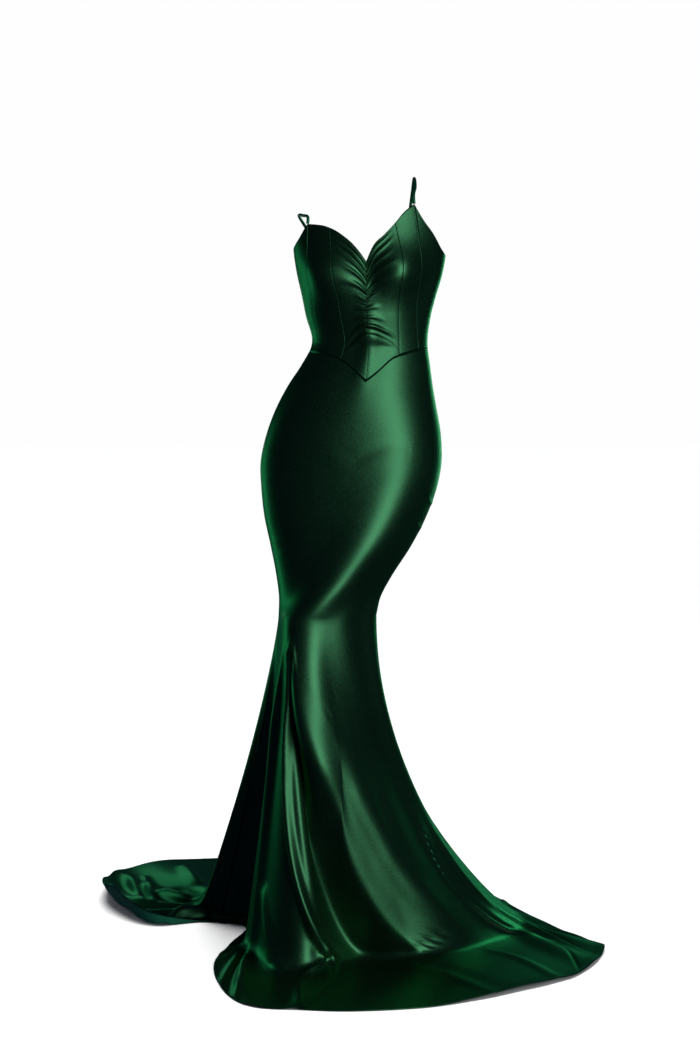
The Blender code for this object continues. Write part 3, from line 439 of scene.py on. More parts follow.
# The panels with their seams, columns and gathered seam, and the width, length and area to which
# each was cut.
PANELS = (
    ("bodice_front_left", CENTRE_FRONT, PRINCESS_LEFT, NECK_LEFT, None, "first",
     0.101, 0.269, 0.0180),
    ("bodice_side_front_left", PRINCESS_LEFT, SIDE_FRONT_LEFT, NECK_LEFT, 34, None,
     0.062, 0.289, 0.0139),
    ("bodice_side_left", SIDE_FRONT_LEFT, SIDE_LEFT, ARMS_AND_BACK, 40, None,
     0.152, 0.289, 0.0169),
    ("bodice_back_left", SIDE_LEFT, CENTRE_BACK, ARMS_AND_BACK, 60, None,
     0.200, 0.184, 0.0282),
    ("bodice_back_right", CENTRE_BACK, SIDE_RIGHT, ARMS_AND_BACK, 60, None,
     0.205, 0.201, 0.0289),
    ("bodice_side_right", SIDE_RIGHT, SIDE_FRONT_RIGHT, ARMS_AND_BACK, 40, None,
     0.087, 0.256, 0.0136),
    ("bodice_side_front_right", SIDE_FRONT_RIGHT, PRINCESS_RIGHT, NECK_RIGHT, 34, None,
     0.069, 0.267, 0.0161),
    ("bodice_front_right", PRINCESS_RIGHT, CENTRE_FRONT_AGAIN, NECK_RIGHT, None, "second",
     0.104, 0.267, 0.0158),
)
PANEL_ROWS = 96

for name, first, second, top_edge, columns, gathered, cut_width, cut_length, cut_area in PANELS:
    panel = {"first": first, "second": second, "top": top_edge}
    across = np.linspace(0.0, 1.0, (columns or FRONT_COLUMNS) + 1)[None, :]
    if gathered:
        centre, side, row = gathered_shares()
        shares = (centre, side) if gathered == "first" else (side, centre)
        relief = gather_relief(row, across if gathered == "first" else 1.0 - across)
    else:
        shares = (np.linspace(0.0, 1.0, PANEL_ROWS + 1),) * 2
        relief = np.zeros((PANEL_ROWS + 1, columns + 1))
    bearing, z = panel_places(panel, across, *shares)
    normal = outward(tube, bearing, z, NORMAL_TURN, -NORMAL_STEP)
    face = tube(bearing, z) + normal * (WALL + relief)[..., None]
    face = pressed(face, normal, ("left", "right", "bottom"))
    piece = cloth_piece(name + "_satin", face, normal, (satin, satin_back))
    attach(piece, "gown")
    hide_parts(name)


# ---------------------------------------------------------------- the skirt
# Three panels of the same satin: one front and two backs, sewn at the sides and the centre back.
# The skirt clings to the knees and flares below them in long folds, lies on the floor all round
# and trails behind to the wearer's right, where its edge has turned up.

FLOOR = -1.530
KNEE = -0.830               # where the skirt leaves the legs and flares
NORMAL_WAY = 0.008          # step down the skirt over which its normal is taken
HEM_TURNED = 0.018          # width of the turned hem
HEM_RISE = 0.0005           # by which its second layer lifts the cloth
HEM_STEP = 0.004            # over which it eases down to one layer
OFF_THE_FLOOR = 0.0001
THIGH_SPREAD = 26.0         # of the thigh's ridge, in bearing
THIGH = table(
    "z    bearing height",
    (-0.380, 46.0, 0.000),
    (-0.480, 40.0, 0.010),
    (-0.580, 30.0, 0.018),
    (-0.680, 18.0, 0.023),
    (-0.760, 1.0, 0.024),
    (-0.830, -29.0, 0.030),
)

# Where each bearing meets the floor (foot) and where its edge lies (hem).
SKIRT = table(
    "bearing foot_x  foot_y   hem_x   hem_y  flare  curl",
    (-92.0, -0.290, 0.330, -0.318, 0.305, 1.15, 0.000),
    (-84.0, -0.212, 0.292, -0.240, 0.272, 1.15, 0.000),
    (-72.0, -0.222, 0.130, -0.262, 0.100, 1.15, 0.000),
    (-58.0, -0.210, 0.040, -0.285, -0.070, 1.15, 0.000),
    (-46.0, -0.195, -0.030, -0.270, -0.215, 1.15, 0.000),
    (-36.0, -0.170, -0.100, -0.240, -0.330, 1.15, 0.000),
    (-24.0, -0.135, -0.145, -0.190, -0.402, 1.15, 0.000),
    (-12.0, -0.095, -0.150, -0.106, -0.420, 1.20, 0.000),
    (0.0, -0.052, -0.110, -0.013, -0.430, 1.25, 0.000),
    (14.0, 0.010, -0.083, 0.125, -0.405, 1.35, 0.000),
    (28.0, 0.080, -0.056, 0.233, -0.345, 1.45, 0.000),
    (44.0, 0.162, -0.020, 0.314, -0.280, 1.60, 0.000),
    (60.0, 0.239, 0.072, 0.378, -0.225, 1.70, 0.000),
    (78.0, 0.307, 0.164, 0.440, -0.150, 1.80, 0.000),
    (92.0, 0.335, 0.230, 0.490, -0.030, 2.00, 0.000),
    (104.0, 0.344, 0.280, 0.508, 0.085, 2.10, 0.000),
    (116.0, 0.342, 0.335, 0.452, 0.190, 2.10, 0.000),
    (128.0, 0.318, 0.400, 0.390, 0.330, 1.95, 0.000),
    (142.0, 0.230, 0.470, 0.290, 0.600, 1.75, 0.000),
    (160.0, 0.060, 0.510, 0.050, 0.930, 1.65, 0.000),
    (180.0, -0.130, 0.510, -0.240, 1.010, 1.55, 0.000),
    (192.0, -0.220, 0.490, -0.430, 0.940, 1.45, 0.000),
    (204.0, -0.278, 0.450, -0.535, 0.850, 1.35, 0.000),
    (218.0, -0.312, 0.405, -0.570, 0.690, 1.30, 0.012),
    (230.0, -0.322, 0.385, -0.566, 0.510, 1.25, 0.038),
    (242.0, -0.330, 0.362, -0.520, 0.370, 1.20, 0.052),
    (256.0, -0.330, 0.345, -0.430, 0.270, 1.15, 0.028),
    (268.0, -0.290, 0.330, -0.318, 0.305, 1.15, 0.000),
)
FLOOR_BLEND = 0.09          # way over which the cloth rounds from hanging to lying
LIP = 0.20                  # way over which the train's edge turns up
FOLD_LANDS = (0.85, 1.15)   # ways between which a fold comes to lift the lying cloth
HEM_CALM = 0.5              # share of that lift lost by the hem
CALM_STARTS = 1.4

# Long folds down the skirt and out to the hem, by their crests' bearings. A valley has a height
# below 0. rise is the way over which a fold reaches its height. Left and right are the spreads of
# its two sides, in bearing, at the knee and at the foot. A side's edge is 1 where it rounds off,
# more where it stays flat and then drops, and less where it falls from a sharp crest.
FOLDS = table(
    "knee   foot   hem   bend start rise height floor_height"
    " knee_left foot_left left_edge knee_right foot_right right_edge",
    (-45.0, -52.0, -26.0, 1.0, 0.03, 0.30, 0.014, 0.006, 3.4, 4.5, 1, 3.4, 4.5, 1),
    (-33.0, 0.0, -14.0, 3.0, 0.03, 0.35, 0.015, 0.004, 1.7, 2.6, 1, 1.7, 2.6, 1),
    (-33.0, 13.0, 10.0, 1.5, 0.02, 0.35, -0.018, 0.000, 2.5, 6.0, 1, 3.0, 7.0, 1),
    (-30.0, 50.0, 50.0, 1.05, 0.00, 0.42, 0.046, 0.014, 13.0, 28.0, 3, 26.0, 34.0, 1),
    (-30.0, 36.0, 44.0, 1.5, 0.10, 0.35, 0.010, 0.004, 3.0, 7.0, 1, 4.0, 20.0, 0.6),
    (60.0, 78.0, 88.0, 3.0, 0.35, 0.80, 0.012, 0.010, 6.0, 5.0, 1, 6.0, 5.0, 1),
    (73.0, 92.0, 100.0, 4.0, 0.45, 0.80, 0.008, 0.014, 6.0, 5.0, 1, 6.0, 5.0, 1),
    (-90.0, -92.0, -92.0, 1.0, 0.15, 0.80, 0.006, 0.004, 8.0, 5.0, 1, 8.0, 5.0, 1),
    (-70.0, -66.0, -60.0, 1.0, 0.30, 0.80, 0.008, 0.004, 8.0, 5.0, 1, 8.0, 5.0, 1),
    (125.0, 126.0, 126.0, 1.0, 0.15, 0.80, 0.010, 0.006, 12.0, 7.0, 1, 12.0, 7.0, 1),
    (150.0, 146.0, 146.0, 1.0, 0.10, 0.80, 0.034, 0.012, 12.0, 7.0, 1, 12.0, 7.0, 1),
    (176.0, 176.0, 172.0, 1.0, 0.10, 0.80, 0.038, 0.015, 12.0, 7.0, 1, 12.0, 7.0, 1),
    (204.0, 204.0, 196.0, 1.0, 0.10, 0.80, 0.034, 0.020, 12.0, 8.0, 1, 12.0, 8.0, 1),
    (228.0, 226.0, 212.0, 1.0, 0.15, 0.80, 0.020, 0.022, 10.0, 6.0, 1, 10.0, 6.0, 1),
    (244.0, 244.0, 224.0, 1.0, 0.30, 0.80, 0.008, 0.022, 8.0, 6.0, 1, 8.0, 6.0, 1),
    (252.0, 256.0, 238.0, 1.0, 0.40, 0.80, 0.006, 0.020, 8.0, 5.0, 1, 8.0, 5.0, 1),
)

# Lines down the panels, which sweep round with the folds. columns is the number of columns of
# points between a line and the one before it.
LINE_COLUMNS = "columns waist knee   foot   hem   bend"
FRONT_LINES = table(
    LINE_COLUMNS,
    (0, -92.0, -92.0, -92.0, -92.0, 1.0),
    (22, -57.0, -66.0, -72.0, -74.0, 1.0),
    (18, -43.0, -51.0, -59.0, -52.0, 1.0),
    (14, -36.0, -44.0, -50.0, -34.0, 1.0),
    (16, -30.0, -41.5, -41.0, -26.0, 1.3),
    (20, -24.0, -39.5, -14.0, -18.0, 1.7),
    (20, -15.0, -37.0, 0.0, -8.0, 2.0),
    (18, -8.0, -34.0, 17.0, 10.0, 1.5),
    (18, 0.0, -31.0, 33.0, 30.0, 1.25),
    (22, 10.0, -28.0, 47.0, 50.0, 1.15),
    (24, 25.0, -10.0, 62.0, 68.0, 1.5),
    (24, 48.0, 30.0, 73.0, 80.0, 2.0),
    (20, 77.0, 67.0, 84.0, 89.0, 2.0),
    (12, 92.0, 92.0, 92.0, 92.0, 1.0),
)
BACK_LEFT_LINES = table(
    LINE_COLUMNS,
    (0, 92.0, 92.0, 92.0, 92.0, 1.0),
    (24, 108.0, 108.0, 108.0, 108.0, 1.0),
    (16, 125.0, 125.0, 126.0, 126.0, 1.0),
    (18, 138.0, 138.0, 136.0, 136.0, 1.0),
    (20, 150.0, 150.0, 146.0, 146.0, 1.0),
    (22, 163.0, 163.0, 161.0, 160.0, 1.0),
    (20, 176.0, 176.0, 176.0, 172.0, 1.0),
    (8, 180.0, 180.0, 180.0, 180.0, 1.0),
)
BACK_RIGHT_LINES = table(
    LINE_COLUMNS,
    (0, 180.0, 180.0, 180.0, 180.0, 1.0),
    (18, 192.0, 192.0, 192.0, 188.0, 1.0),
    (22, 204.0, 204.0, 204.0, 196.0, 1.0),
    (22, 217.0, 217.0, 216.0, 205.0, 1.0),
    (22, 228.0, 228.0, 226.0, 212.0, 1.0),
    (22, 237.0, 237.0, 236.0, 219.0, 1.0),
    (20, 244.0, 244.0, 244.0, 224.0, 1.0),
    (18, 248.0, 248.0, 250.0, 231.0, 1.0),
    (18, 252.0, 252.0, 256.0, 238.0, 1.0),
    (18, 259.0, 259.0, 262.0, 251.0, 1.0),
    (20, 268.0, 268.0, 268.0, 268.0, 1.0),
)

# Soft creases and small ridges, each on a curve through three places of the cloth, by bearing and
# way: drag lines over the lap and the thighs, the arch where two folds start at the forward knee,
# the toe where they end, puckers of the hem and the bunched train. Troughs have a height below 0.
CREASES = table(
    "bearing_1 way_1 bearing_2 way_2 bearing_3 way_3 height width",
    (-12.0, -0.662, 12.4, -0.672, 38.0, -0.640, -0.0010, 0.014),
    (-14.0, -0.620, 8.0, -0.634, 34.0, -0.610, 0.0006, 0.018),
    (-60.0, -0.395, -29.6, -0.424, -8.0, -0.450, 0.0010, 0.004),
    (-74.0, -0.280, -34.7, -0.302, -9.3, -0.330, 0.0016, 0.005),
    (-56.0, -0.345, -31.2, -0.366, -10.3, -0.392, 0.0010, 0.004),
    (-62.0, -0.240, -36.0, -0.262, -14.0, -0.280, 0.0012, 0.005),
    (-80.0, -0.500, -60.0, -0.520, -42.0, -0.545, 0.0012, 0.007),
    (58.0, -0.360, 74.0, -0.330, 90.0, -0.330, 0.0014, 0.006),
    (62.0, -0.450, 80.0, -0.420, 98.0, -0.430, 0.0012, 0.005),
    (-37.5, 0.160, -31.0, 0.070, -25.5, 0.150, 0.0045, 0.0035),
    (4.0, 0.330, 29.5, 0.657, 50.0, 0.900, 0.0090, 0.028),
    (-4.6, 0.937, -6.7, 1.035, -15.7, 1.119, 0.0100, 0.008),
    (-45.0, 0.780, -37.0, 0.930, -24.0, 1.090, 0.0130, 0.018),
    (0.1, 0.479, 5.6, 0.471, 10.7, 0.463, -0.0016, 0.003),
    (-4.4, 0.222, -0.1, 0.213, 4.2, 0.200, -0.0012, 0.003),
    (-9.0, 0.268, -4.0, 0.256, 0.0, 0.240, -0.0010, 0.003),
    (33.0, 0.998, 40.6, 0.945, 50.0, 0.905, -0.0045, 0.004),
    (68.3, 0.590, 60.1, 0.727, 63.6, 0.853, 0.0040, 0.005),
    (63.6, 0.840, 74.6, 1.047, 90.0, 1.480, 0.0045, 0.005),
    (75.2, 0.640, 75.2, 0.819, 82.0, 0.930, 0.0090, 0.012),
    (88.0, 1.450, 83.2, 1.784, 78.0, 2.000, -0.0020, 0.003),
    (-69.0, 1.440, -66.0, 1.760, -64.0, 2.060, 0.0040, 0.007),
    (-60.0, 1.300, -51.0, 1.634, -42.0, 2.060, 0.0050, 0.008),
    (-55.0, 1.260, -46.5, 1.600, -37.0, 2.000, -0.0030, 0.006),
    (-49.4, 1.150, -42.0, 1.530, -32.0, 2.060, 0.0070, 0.010),
    (-15.0, 1.200, -13.2, 1.564, -12.2, 2.080, 0.0070, 0.014),
    (25.0, 1.120, 30.0, 1.500, 33.0, 2.060, 0.0040, 0.016),
    (52.0, 1.150, 60.0, 1.500, 64.0, 2.060, 0.0040, 0.014),
    (264.3, 0.780, 264.3, 0.930, 266.5, 1.350, 0.0050, 0.006),
    (210.2, 1.912, 218.7, 1.712, 233.8, 1.588, 0.0080, 0.011),
    (205.4, 1.794, 219.4, 1.548, 234.8, 1.500, 0.0080, 0.010),
    (220.8, 1.450, 221.9, 1.276, 226.7, 1.110, 0.0100, 0.012),
    (193.4, 1.818, 197.5, 1.522, 202.5, 1.258, 0.0120, 0.016),
    (213.0, 1.200, 209.0, 1.330, 211.0, 1.500, -0.0060, 0.012),
    (250.0, 0.950, 252.0, 1.400, 257.9, 1.950, 0.0070, 0.010),
    (112.0, -0.560, 130.0, -0.525, 152.0, -0.545, 0.0014, 0.006),
    (206.0, -0.515, 228.0, -0.490, 250.0, -0.530, 0.0014, 0.006),
    (116.0, -0.330, 140.0, -0.300, 168.0, -0.330, 0.0018, 0.007),
    (190.0, -0.290, 215.0, -0.260, 242.0, -0.290, 0.0018, 0.007),
    (130.0, -0.120, 155.0, -0.070, 176.0, -0.100, 0.0022, 0.007),
    (190.0, -0.130, 212.0, -0.070, 236.0, -0.100, 0.0022, 0.006),
    (108.0, 0.250, 114.0, 0.450, 118.0, 0.700, 0.0040, 0.009),
    (138.0, 0.500, 136.0, 0.750, 137.0, 1.000, 0.0050, 0.011),
    (162.0, 0.450, 166.0, 0.750, 166.0, 1.080, 0.0050, 0.012),
    (190.0, 0.350, 193.0, 0.700, 190.0, 1.000, 0.0050, 0.010),
    (216.0, 0.450, 217.0, 0.750, 214.0, 1.080, 0.0050, 0.010),
    (186.0, 1.180, 184.0, 1.600, 182.5, 2.060, 0.0060, 0.014),
    (158.0, 1.250, 160.0, 1.600, 161.0, 2.060, 0.0060, 0.014),
    (134.0, 1.350, 136.0, 1.700, 138.0, 2.060, 0.0050, 0.012),
    (108.0, 1.250, 111.0, 1.600, 112.0, 2.060, 0.0045, 0.010),
)
CREASE_STEPS = 48           # straight steps that make up a crease's curve
CREASE_REACH = 3.0          # widths past which a crease has gone

# Rows down the skirt in runs, closer where the cloth creases finely.
ROW_RUNS = table(
    "end rows",
    (-1.00, 0), (-0.92, 8), (-0.60, 24), (-0.46, 12), (-0.22, 40), (0.00, 16), (0.30, 16),
    (0.80, 22), (1.10, 16), (1.70, 20), (2.00, 16),
)


def round_column(rows, name, bearing):
    """One column of a table that goes once round the gown by bearing."""
    keys = rows["bearing"][:-1]
    keys = np.concatenate((keys - 360, keys, keys + 360))
    return curve_through(keys, np.tile(rows[name][:-1], 3), bearing)


def plain_skirt(bearing, way):
    """The skirt without its folds: the tube down to the knee, then a straight run from the knee's
    ring to the foot, flared by an exponent, and from the foot along the floor to the hem."""
    bearing, way = np.broadcast_arrays(np.asarray(bearing, float), np.asarray(way, float))
    waist = waist_height(bearing)
    level = waist + (KNEE - waist) * (1.0 + np.minimum(way, 0.0))
    off_ridge = turn_between(bearing, column(THIGH, "z", "bearing", level)) / THIGH_SPREAD
    thigh = (level < THIGH["z"][0]) * column(THIGH, "z", "height", level) * bump(off_ridge)
    tight = tube(bearing, level, thigh)
    past = np.maximum(way, 0.0)
    outwards = 0.5 * (past - 1.0 + np.sqrt((past - 1.0) ** 2 + FLOOR_BLEND ** 2))
    outwards = outwards - 0.5 * (math.sqrt(1.0 + FLOOR_BLEND ** 2) - 1.0)
    falling = np.clip(past - outwards, 0.0, 1.0)
    spread = falling ** round_column(SKIRT, "flare", bearing)
    foot = np.stack([round_column(SKIRT, "foot_" + axis, bearing) for axis in "xy"], axis=-1)
    hem = np.stack([round_column(SKIRT, "hem_" + axis, bearing) for axis in "xy"], axis=-1)
    flat = tight[..., :2] + (foot - tight[..., :2]) * spread[..., None]
    flat = flat + (hem - foot) * np.minimum(outwards, 1.0)[..., None]
    landing = 1.0 - smooth_step(past, 1.0, 2.0)
    z = tight[..., 2] + (FLOOR - KNEE) * np.where(way > 0, 1.0 - (1.0 - falling) * landing, 0.0)
    lip = round_column(SKIRT, "curl", bearing) * np.clip((past - 2.0 + LIP) / LIP, 0.0, 1.0) ** 2
    return np.concatenate((flat, (z + lip)[..., None]), axis=-1), outwards


def crest_bearing(line, way):
    """Bearing at a way down the skirt, from those at the knee, the foot and the hem."""
    hanging, lying = np.clip(way, 0.0, 1.0), np.clip(way - 1.0, 0.0, 1.0)
    return (line["knee"] + (line["foot"] - line["knee"]) * hanging ** line["bend"]
            + (line["hem"] - line["foot"]) * lying)


def skirt(bearing, way):
    """The skirt with its folds: round ridges that push the hanging cloth out level and lift the
    lying cloth off the floor."""
    cloth, outwards = plain_skirt(bearing, way)
    hanging = np.clip(way, 0.0, 1.0)
    ahead, _ = plain_skirt(bearing + NORMAL_TURN, hanging)
    behind, _ = plain_skirt(bearing - NORMAL_TURN, hanging)
    along = unit((ahead - behind)[..., :2])
    push = np.zeros_like(outwards)
    lift = np.zeros_like(outwards)
    for i in range(len(FOLDS["knee"])):
        fold = {name: values[i] for name, values in FOLDS.items()}
        off_crest = turn_between(bearing, crest_bearing(fold, way))
        left = fold["knee_left"] + (fold["foot_left"] - fold["knee_left"]) * hanging
        right = fold["knee_right"] + (fold["foot_right"] - fold["knee_right"]) * hanging
        shape = bump(np.where(off_crest > 0, (np.abs(off_crest) / right) ** fold["right_edge"],
                              (np.abs(off_crest) / left) ** fold["left_edge"]))
        rise = smooth_step(way, fold["start"], fold["start"] + fold["rise"])
        push = push + shape * rise * fold["height"]
        lift = lift + shape * smooth_step(way, *FOLD_LANDS) * fold["floor_height"]
    push = push * (1.0 - outwards)
    lift = lift * (1.0 - HEM_CALM * smooth_step(way, CALM_STARTS, 2.0))
    x = cloth[..., 0] + along[..., 1] * push
    y = cloth[..., 1] - along[..., 0] * push
    return np.stack((x, y, cloth[..., 2] + lift), axis=-1)


def swept(lines, way):
    """Bearings of a panel's columns at each row, spaced evenly between its lines."""
    column_of_line = np.cumsum(lines["columns"])
    column_of_point = np.arange(int(column_of_line[-1]) + 1)
    waist = np.interp(column_of_point, column_of_line, lines["waist"])
    rows = []
    for row_way in way:
        below = np.interp(column_of_point, column_of_line, crest_bearing(lines, row_way))
        rows.append(waist + (below - waist) * smooth_step(row_way, -1.0, 0.0))
    return np.array(rows)


def crease_relief(points, form, creases):
    """Height of the creases at points of the cloth. Each runs along a quadratic curve through its
    three places, is a bump of the distance to the curve over its width, and tapers to nothing at
    both ends as the root of a half sine."""
    relief = np.zeros(points.shape[:-1])
    share = np.linspace(0.0, 1.0, CREASE_STEPS + 1)
    shares = ((1 - share) * (1 - 2 * share), 4 * share * (1 - share), share * (2 * share - 1))
    for i in range(len(creases["height"])):
        crease = {name: values[i] for name, values in creases.items()}
        line = form(*(sum(crease[f"{name}_{stop + 1}"] * shares[stop] for stop in range(3))
                      for name in ("bearing", "way")))
        reach = CREASE_REACH * crease["width"]
        near = np.all((points > line.min(axis=0) - reach) & (points < line.max(axis=0) + reach),
                      axis=-1)
        step = np.diff(line, axis=0)
        gap = points[near][:, None] - line[:-1]
        along = np.clip(np.sum(gap * step, axis=-1) / np.sum(step * step, axis=-1), 0.0, 1.0)
        distance = np.linalg.norm(gap - along[..., None] * step, axis=-1)
        nearest = np.argmin(distance, axis=1)[:, None]
        distance = np.take_along_axis(distance, nearest, axis=1)[:, 0]
        place = (nearest + np.take_along_axis(along, nearest, axis=1))[:, 0] / CREASE_STEPS
        taper = np.sqrt(np.sin(math.pi * np.clip(place, 0.0, 1.0)))
        relief[near] += crease["height"] * taper * bump(distance / crease["width"])
    return relief


way = np.concatenate([[ROW_RUNS["end"][0]]] + [
    np.linspace(start, end, int(rows) + 1)[1:]
    for start, end, rows in zip(ROW_RUNS["end"], ROW_RUNS["end"][1:], ROW_RUNS["rows"][1:])])

# Each panel with the width, length and area to which it was cut.
for name, lines, cut_width, cut_length, cut_area in (
        ("skirt_front", FRONT_LINES, 1.21, 1.52, 0.97),
        ("skirt_back_left", BACK_LEFT_LINES, 1.03, 1.88, 0.63),
        ("skirt_back_right", BACK_RIGHT_LINES, 0.54, 1.89, 0.53)):
    bearing, down = np.broadcast_arrays(swept(lines, way), way[:, None])
    inner = skirt(bearing, down)
    normal = outward(skirt, bearing, down, NORMAL_TURN, NORMAL_WAY)
    normal[0] = outward(tube, bearing[0], inner[0, :, 2], NORMAL_TURN, -NORMAL_STEP)
    from_top = lengths_along(inner, 0)
    to_hem = from_top[-1:] - from_top
    relief = crease_relief(inner, skirt, CREASES)
    relief = relief + HEM_RISE * (1.0 - smooth_step(to_hem, HEM_TURNED, HEM_TURNED + HEM_STEP))
    face = inner + normal * (WALL + relief)[..., None]
    face = pressed(face, normal, ("left", "right", "top"))
    face[..., 2] = np.maximum(face[..., 2], FLOOR + CLOTH + OFF_THE_FLOOR)
    piece = cloth_piece(name + "_satin", face, normal, (satin, satin_back))
    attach(piece, "gown")
    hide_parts(name)


# ---------------------------------------------------------------- the shoulder straps
# Rouleaux: narrow bias tubes of the satin, turned right side out and sewn inside the top edge at
# the cup's corner and at the back. They bear on the wearer's shoulders.

STRAP_RADIUS = 0.0032
STRAP_FULL = 0.97           # share of the radius that the tube keeps where it is even
STRAP_WAVES = ((0.006, 210, 0.0), (0.004, 431, 1.0))    # share of radius, radians a metre, start
STRAP_LIFT = 0.0006         # the ends' height over the top edge, and where they turn upwards
STRAP_RISE = 0.0120
STRAP_RINGS = 150
STRAP_SIDES = 20
STRAP_LEFT_ROUTE = ((0.1155, -0.0420, 0.0170), (0.1144, 0.0, 0.0365), (0.1120, 0.0420, 0.0150),
                    (0.1060, 0.0780, -0.0500))
STRAP_RIGHT_ROUTE = ((-0.1060, -0.0330, -0.0385), (-0.1144, 0.0, -0.0365),
                     (-0.1080, 0.0380, -0.0480), (-0.0760, 0.0800, -0.0950))
STRAP_LEFT_BACK = 147.0
STRAP_RIGHT_BACK = 213.0


def edge_seat(bearing, top_edge, lift):
    """A place over the middle of the cloth's top edge at a bearing."""
    bearing = np.array(bearing)
    z = curve_through(top_edge["bearing"], top_edge["z"], bearing) + lift
    return tube(bearing, z) + outward(tube, bearing, z, NORMAL_TURN, -NORMAL_STEP) * WALL / 2


def tube_along(name, centres, radius, material):
    """A closed tube: a circle carried along a line of points, square to the line, with flat ends.
    Its radius may change from ring to ring."""
    heading = unit(np.gradient(centres, axis=0))
    sideways = unit(np.cross(heading, np.array((1.0, 0.0, 0.0))))
    upwards = np.cross(sideways, heading)
    turn = np.linspace(0.0, 2 * math.pi, STRAP_SIDES, endpoint=False)
    rings = (centres[:, None] + radius[:, None, None]
             * (np.cos(turn)[None, :, None] * sideways[:, None]
                + np.sin(turn)[None, :, None] * upwards[:, None]))
    count = len(centres)
    number = np.arange(count * STRAP_SIDES).reshape(count, STRAP_SIDES)
    onward = np.roll(number, -1, axis=1)
    walls = np.stack((number[:-1], number[1:], onward[1:], onward[:-1]), axis=-1).reshape(-1, 4)
    points = np.concatenate((rings.reshape(-1, 3), centres[[0, -1]]))
    first, last = number.size, number.size + 1
    ends = [(first, a, b) for a, b in zip(number[0], onward[0])]
    ends += [(last, b, a) for a, b in zip(number[-1], onward[-1])]
    mesh = bpy.data.meshes.new(name)
    mesh.from_pydata(points.tolist(), [], walls.tolist() + ends)
    uv = mesh.uv_layers.new(name="cut")
    along = lengths_along(centres[:, None], 0)[:, 0]
    flat = np.stack(np.broadcast_arrays(turn * radius.mean(), along[:, None]), axis=-1)
    flat = np.concatenate((flat.reshape(-1, 2), [(0.0, 0.0), (0.0, along[-1])]))
    corner = np.zeros(len(mesh.loops), np.int32)
    mesh.loops.foreach_get("vertex_index", corner)
    uv.data.foreach_set("uv", flat[corner].astype(np.float32).ravel())
    mesh.shade_smooth()
    mesh.materials.append(material)
    return placed(name, mesh)


strap_satin = satin_finish("strap_satin", (0.005, 0.070, 0.032), (0.008, 0.100, 0.045), 0.55, 0.40)

for name, front, route, behind in (
        ("strap_left", (NECK_LEFT["bearing"][-1], NECK_LEFT), STRAP_LEFT_ROUTE,
         (STRAP_LEFT_BACK, ARMS_AND_BACK)),
        ("strap_right", (NECK_RIGHT["bearing"][0], NECK_RIGHT), STRAP_RIGHT_ROUTE,
         (STRAP_RIGHT_BACK, ARMS_AND_BACK))):
    stops = np.array([edge_seat(*front, STRAP_LIFT), edge_seat(*front, STRAP_RISE), *route,
                      edge_seat(*behind, STRAP_RISE), edge_seat(*behind, STRAP_LIFT)])
    travelled = lengths_along(stops[:, None], 0)[:, 0]
    at = np.linspace(0.0, travelled[-1], STRAP_RINGS)
    line = np.stack([curve_through(travelled, stops[:, i], at) for i in range(3)], axis=-1)
    radius = STRAP_RADIUS * (STRAP_FULL + sum(share * np.sin(at * pace + start)
                                              for share, pace, start in STRAP_WAVES))
    piece = tube_along(name + "_rouleau", line, radius, strap_satin)
    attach(piece, "gown")
    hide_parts(name)


# ---------------------------------------------------------------- the concealed zip
# Only its slider and pull tab show, at the top of the centre back seam. Both are small castings
# lacquered to match the satin, and the tab swings on the slider's pin.

ZIP_ROUND = 0.00018         # the castings' rounded edges

lacquer = Nodes("zip_lacquer")
place = lacquer.add("TexCoord")
wear = lacquer.add("TexNoise", Vector=place.outputs["Object"], Scale=900.0, Detail=3.0)
worn = lacquer.add("MapRange", _0=wear.outputs[0], _1=0.45, _2=0.75, _3=0.0, _4=1.0)
tint = lacquer.add("Mix", {"data_type": "RGBA"}, _0=worn.outputs[0],
                   _6=(0.008, 0.060, 0.034, 1.0), _7=(0.060, 0.110, 0.080, 1.0))
dull = lacquer.add("MapRange", _0=wear.outputs[0], _1=0.3, _2=0.7, _3=0.24, _4=0.42)
lacquer.put(lacquer.shader, Base_Color=tint.outputs[2], Roughness=dull.outputs[0], Metallic=0.85)
for name in ("zip_slider", "zip_pull"):
    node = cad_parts[name]
    node.data.materials.clear()
    node.data.materials.append(lacquer.material)
    bevel = node.modifiers.new("rounded", "BEVEL")
    bevel.width = ZIP_ROUND
    bevel.segments = 2


# ---------------------------------------------------------------- floor, lights and camera
# A pale floor with a sun that lights it alone, one broad key light to the right of the camera,
# which draws the satin's long highlights, and dim lights behind for the edges and the train.

CAMERA_PLACE = (-0.013, -5.0, -0.32285)
CAMERA_DOWN = 3.78          # degrees below the level
LENS = 85.71
LIGHTS_AIM = (0.0, 0.0, -0.75)
FLOOR_REACH = 30.0
FLOOR_DROP = 0.0003         # keeps the floor clear of the cloth on it

pale = Nodes("pale_floor")
place = pale.add("TexCoord")
cloudy = pale.add("TexNoise", Vector=place.outputs["Object"], Scale=3.0, Detail=4.0)
ground = pale.add("Mix", {"data_type": "RGBA"}, _0=cloudy.outputs[0],
                  _6=(0.74, 0.74, 0.73, 1.0), _7=(0.80, 0.80, 0.79, 1.0))
pale.put(pale.shader, Base_Color=ground.outputs[2], Roughness=0.8, Specular_IOR_Level=0.1)
mesh = bpy.data.meshes.new("floor")
mesh.from_pydata([(x * FLOOR_REACH, y * FLOOR_REACH, FLOOR - FLOOR_DROP)
                  for x, y in ((-1, -1), (1, -1), (1, 1), (-1, 1))], [], [(0, 1, 2, 3)])
mesh.materials.append(pale.material)
floor = placed("floor", mesh)
floor.visible_diffuse = False
floor.visible_glossy = False
floor.visible_shadow = False


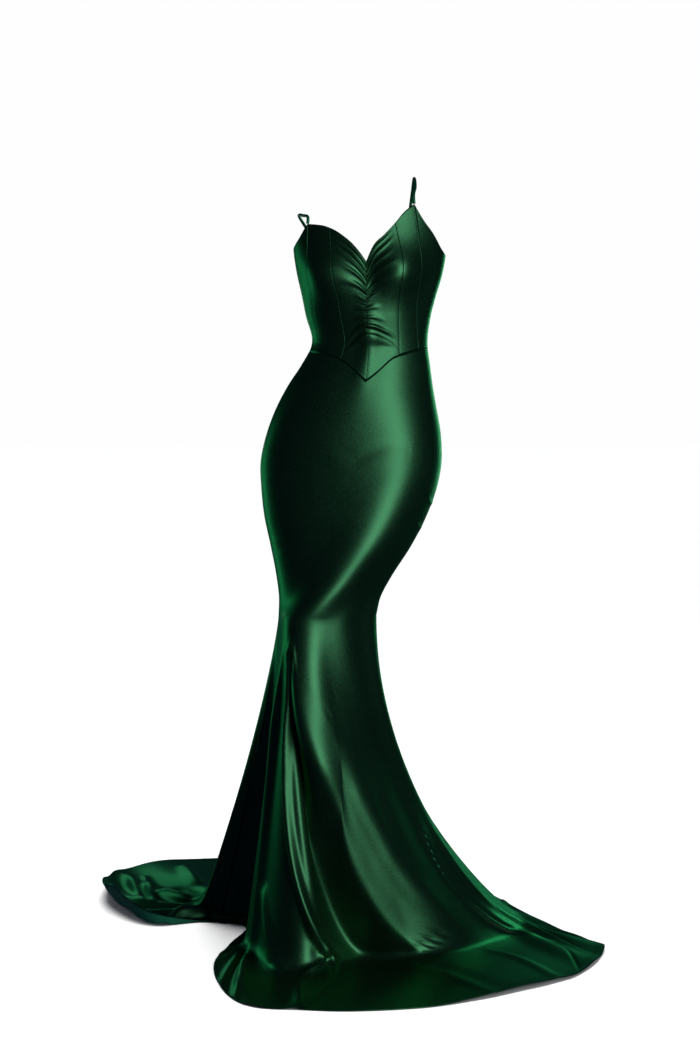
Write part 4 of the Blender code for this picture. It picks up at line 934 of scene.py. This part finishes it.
def soft_light(name, azimuth, height, distance, width, length, power):
    """An area light at an azimuth to the right of the front, aimed at the gown's middle. Its place
    is the distance times the azimuth's sine and cosine, at a height."""
    light = bpy.data.lights.new(name, "AREA")
    light.shape = "RECTANGLE"
    light.size, light.size_y, light.energy = width, length, power
    holder = placed(name, light)
    turn = math.radians(azimuth)
    spot = np.array((math.sin(turn) * distance, -math.cos(turn) * distance, height))
    aim = np.array(LIGHTS_AIM) - spot
    holder.location = spot
    holder.rotation_euler = (math.acos(-aim[2] / np.linalg.norm(aim)), 0.0,
                             math.atan2(-aim[0], aim[1]))


soft_light("key", 31, 0.40, 8.0, 3.8, 7.2, 600)
soft_light("rim_left", -128, -0.75, 3.0, 0.8, 1.5, 8)
soft_light("rim_right", 150, -0.30, 3.0, 0.6, 1.6, 12)
soft_light("train", -161, -0.60, 4.2, 0.9, 0.4, 3)
overhead = bpy.data.lights.new("overhead", "SUN")
overhead.energy, overhead.angle = 4.2, math.radians(40)
holder = placed("overhead", overhead)
ground_only = bpy.data.collections.new("ground_only")
ground_only.objects.link(floor)
holder.light_linking.receiver_collection = ground_only

world = bpy.data.worlds.new("studio")
world.use_nodes = True
tree = world.node_tree
seen = tree.nodes.new("ShaderNodeLightPath")
backdrop = tree.nodes["Background"]
backdrop.inputs["Color"].default_value = (0.99, 0.99, 0.99, 1.0)
dim = tree.nodes.new("ShaderNodeBackground")
dim.inputs["Color"].default_value = (0.35, 0.45, 1.15, 1.0)
dim.inputs["Strength"].default_value = 0.045
either = tree.nodes.new("ShaderNodeMixShader")
tree.links.new(seen.outputs["Is Camera Ray"], either.inputs[0])
tree.links.new(dim.outputs[0], either.inputs[1])
tree.links.new(backdrop.outputs[0], either.inputs[2])
tree.links.new(either.outputs[0], tree.nodes["World Output"].inputs[0])
bpy.context.scene.world = world
bpy.context.scene.view_settings.view_transform = "Standard"

lens = bpy.data.cameras.new("camera")
lens.lens = LENS
camera = placed("camera", lens)
camera.location = CAMERA_PLACE
camera.rotation_euler = (math.radians(90 - CAMERA_DOWN), 0.0, 0.0)
bpy.context.scene.camera = camera
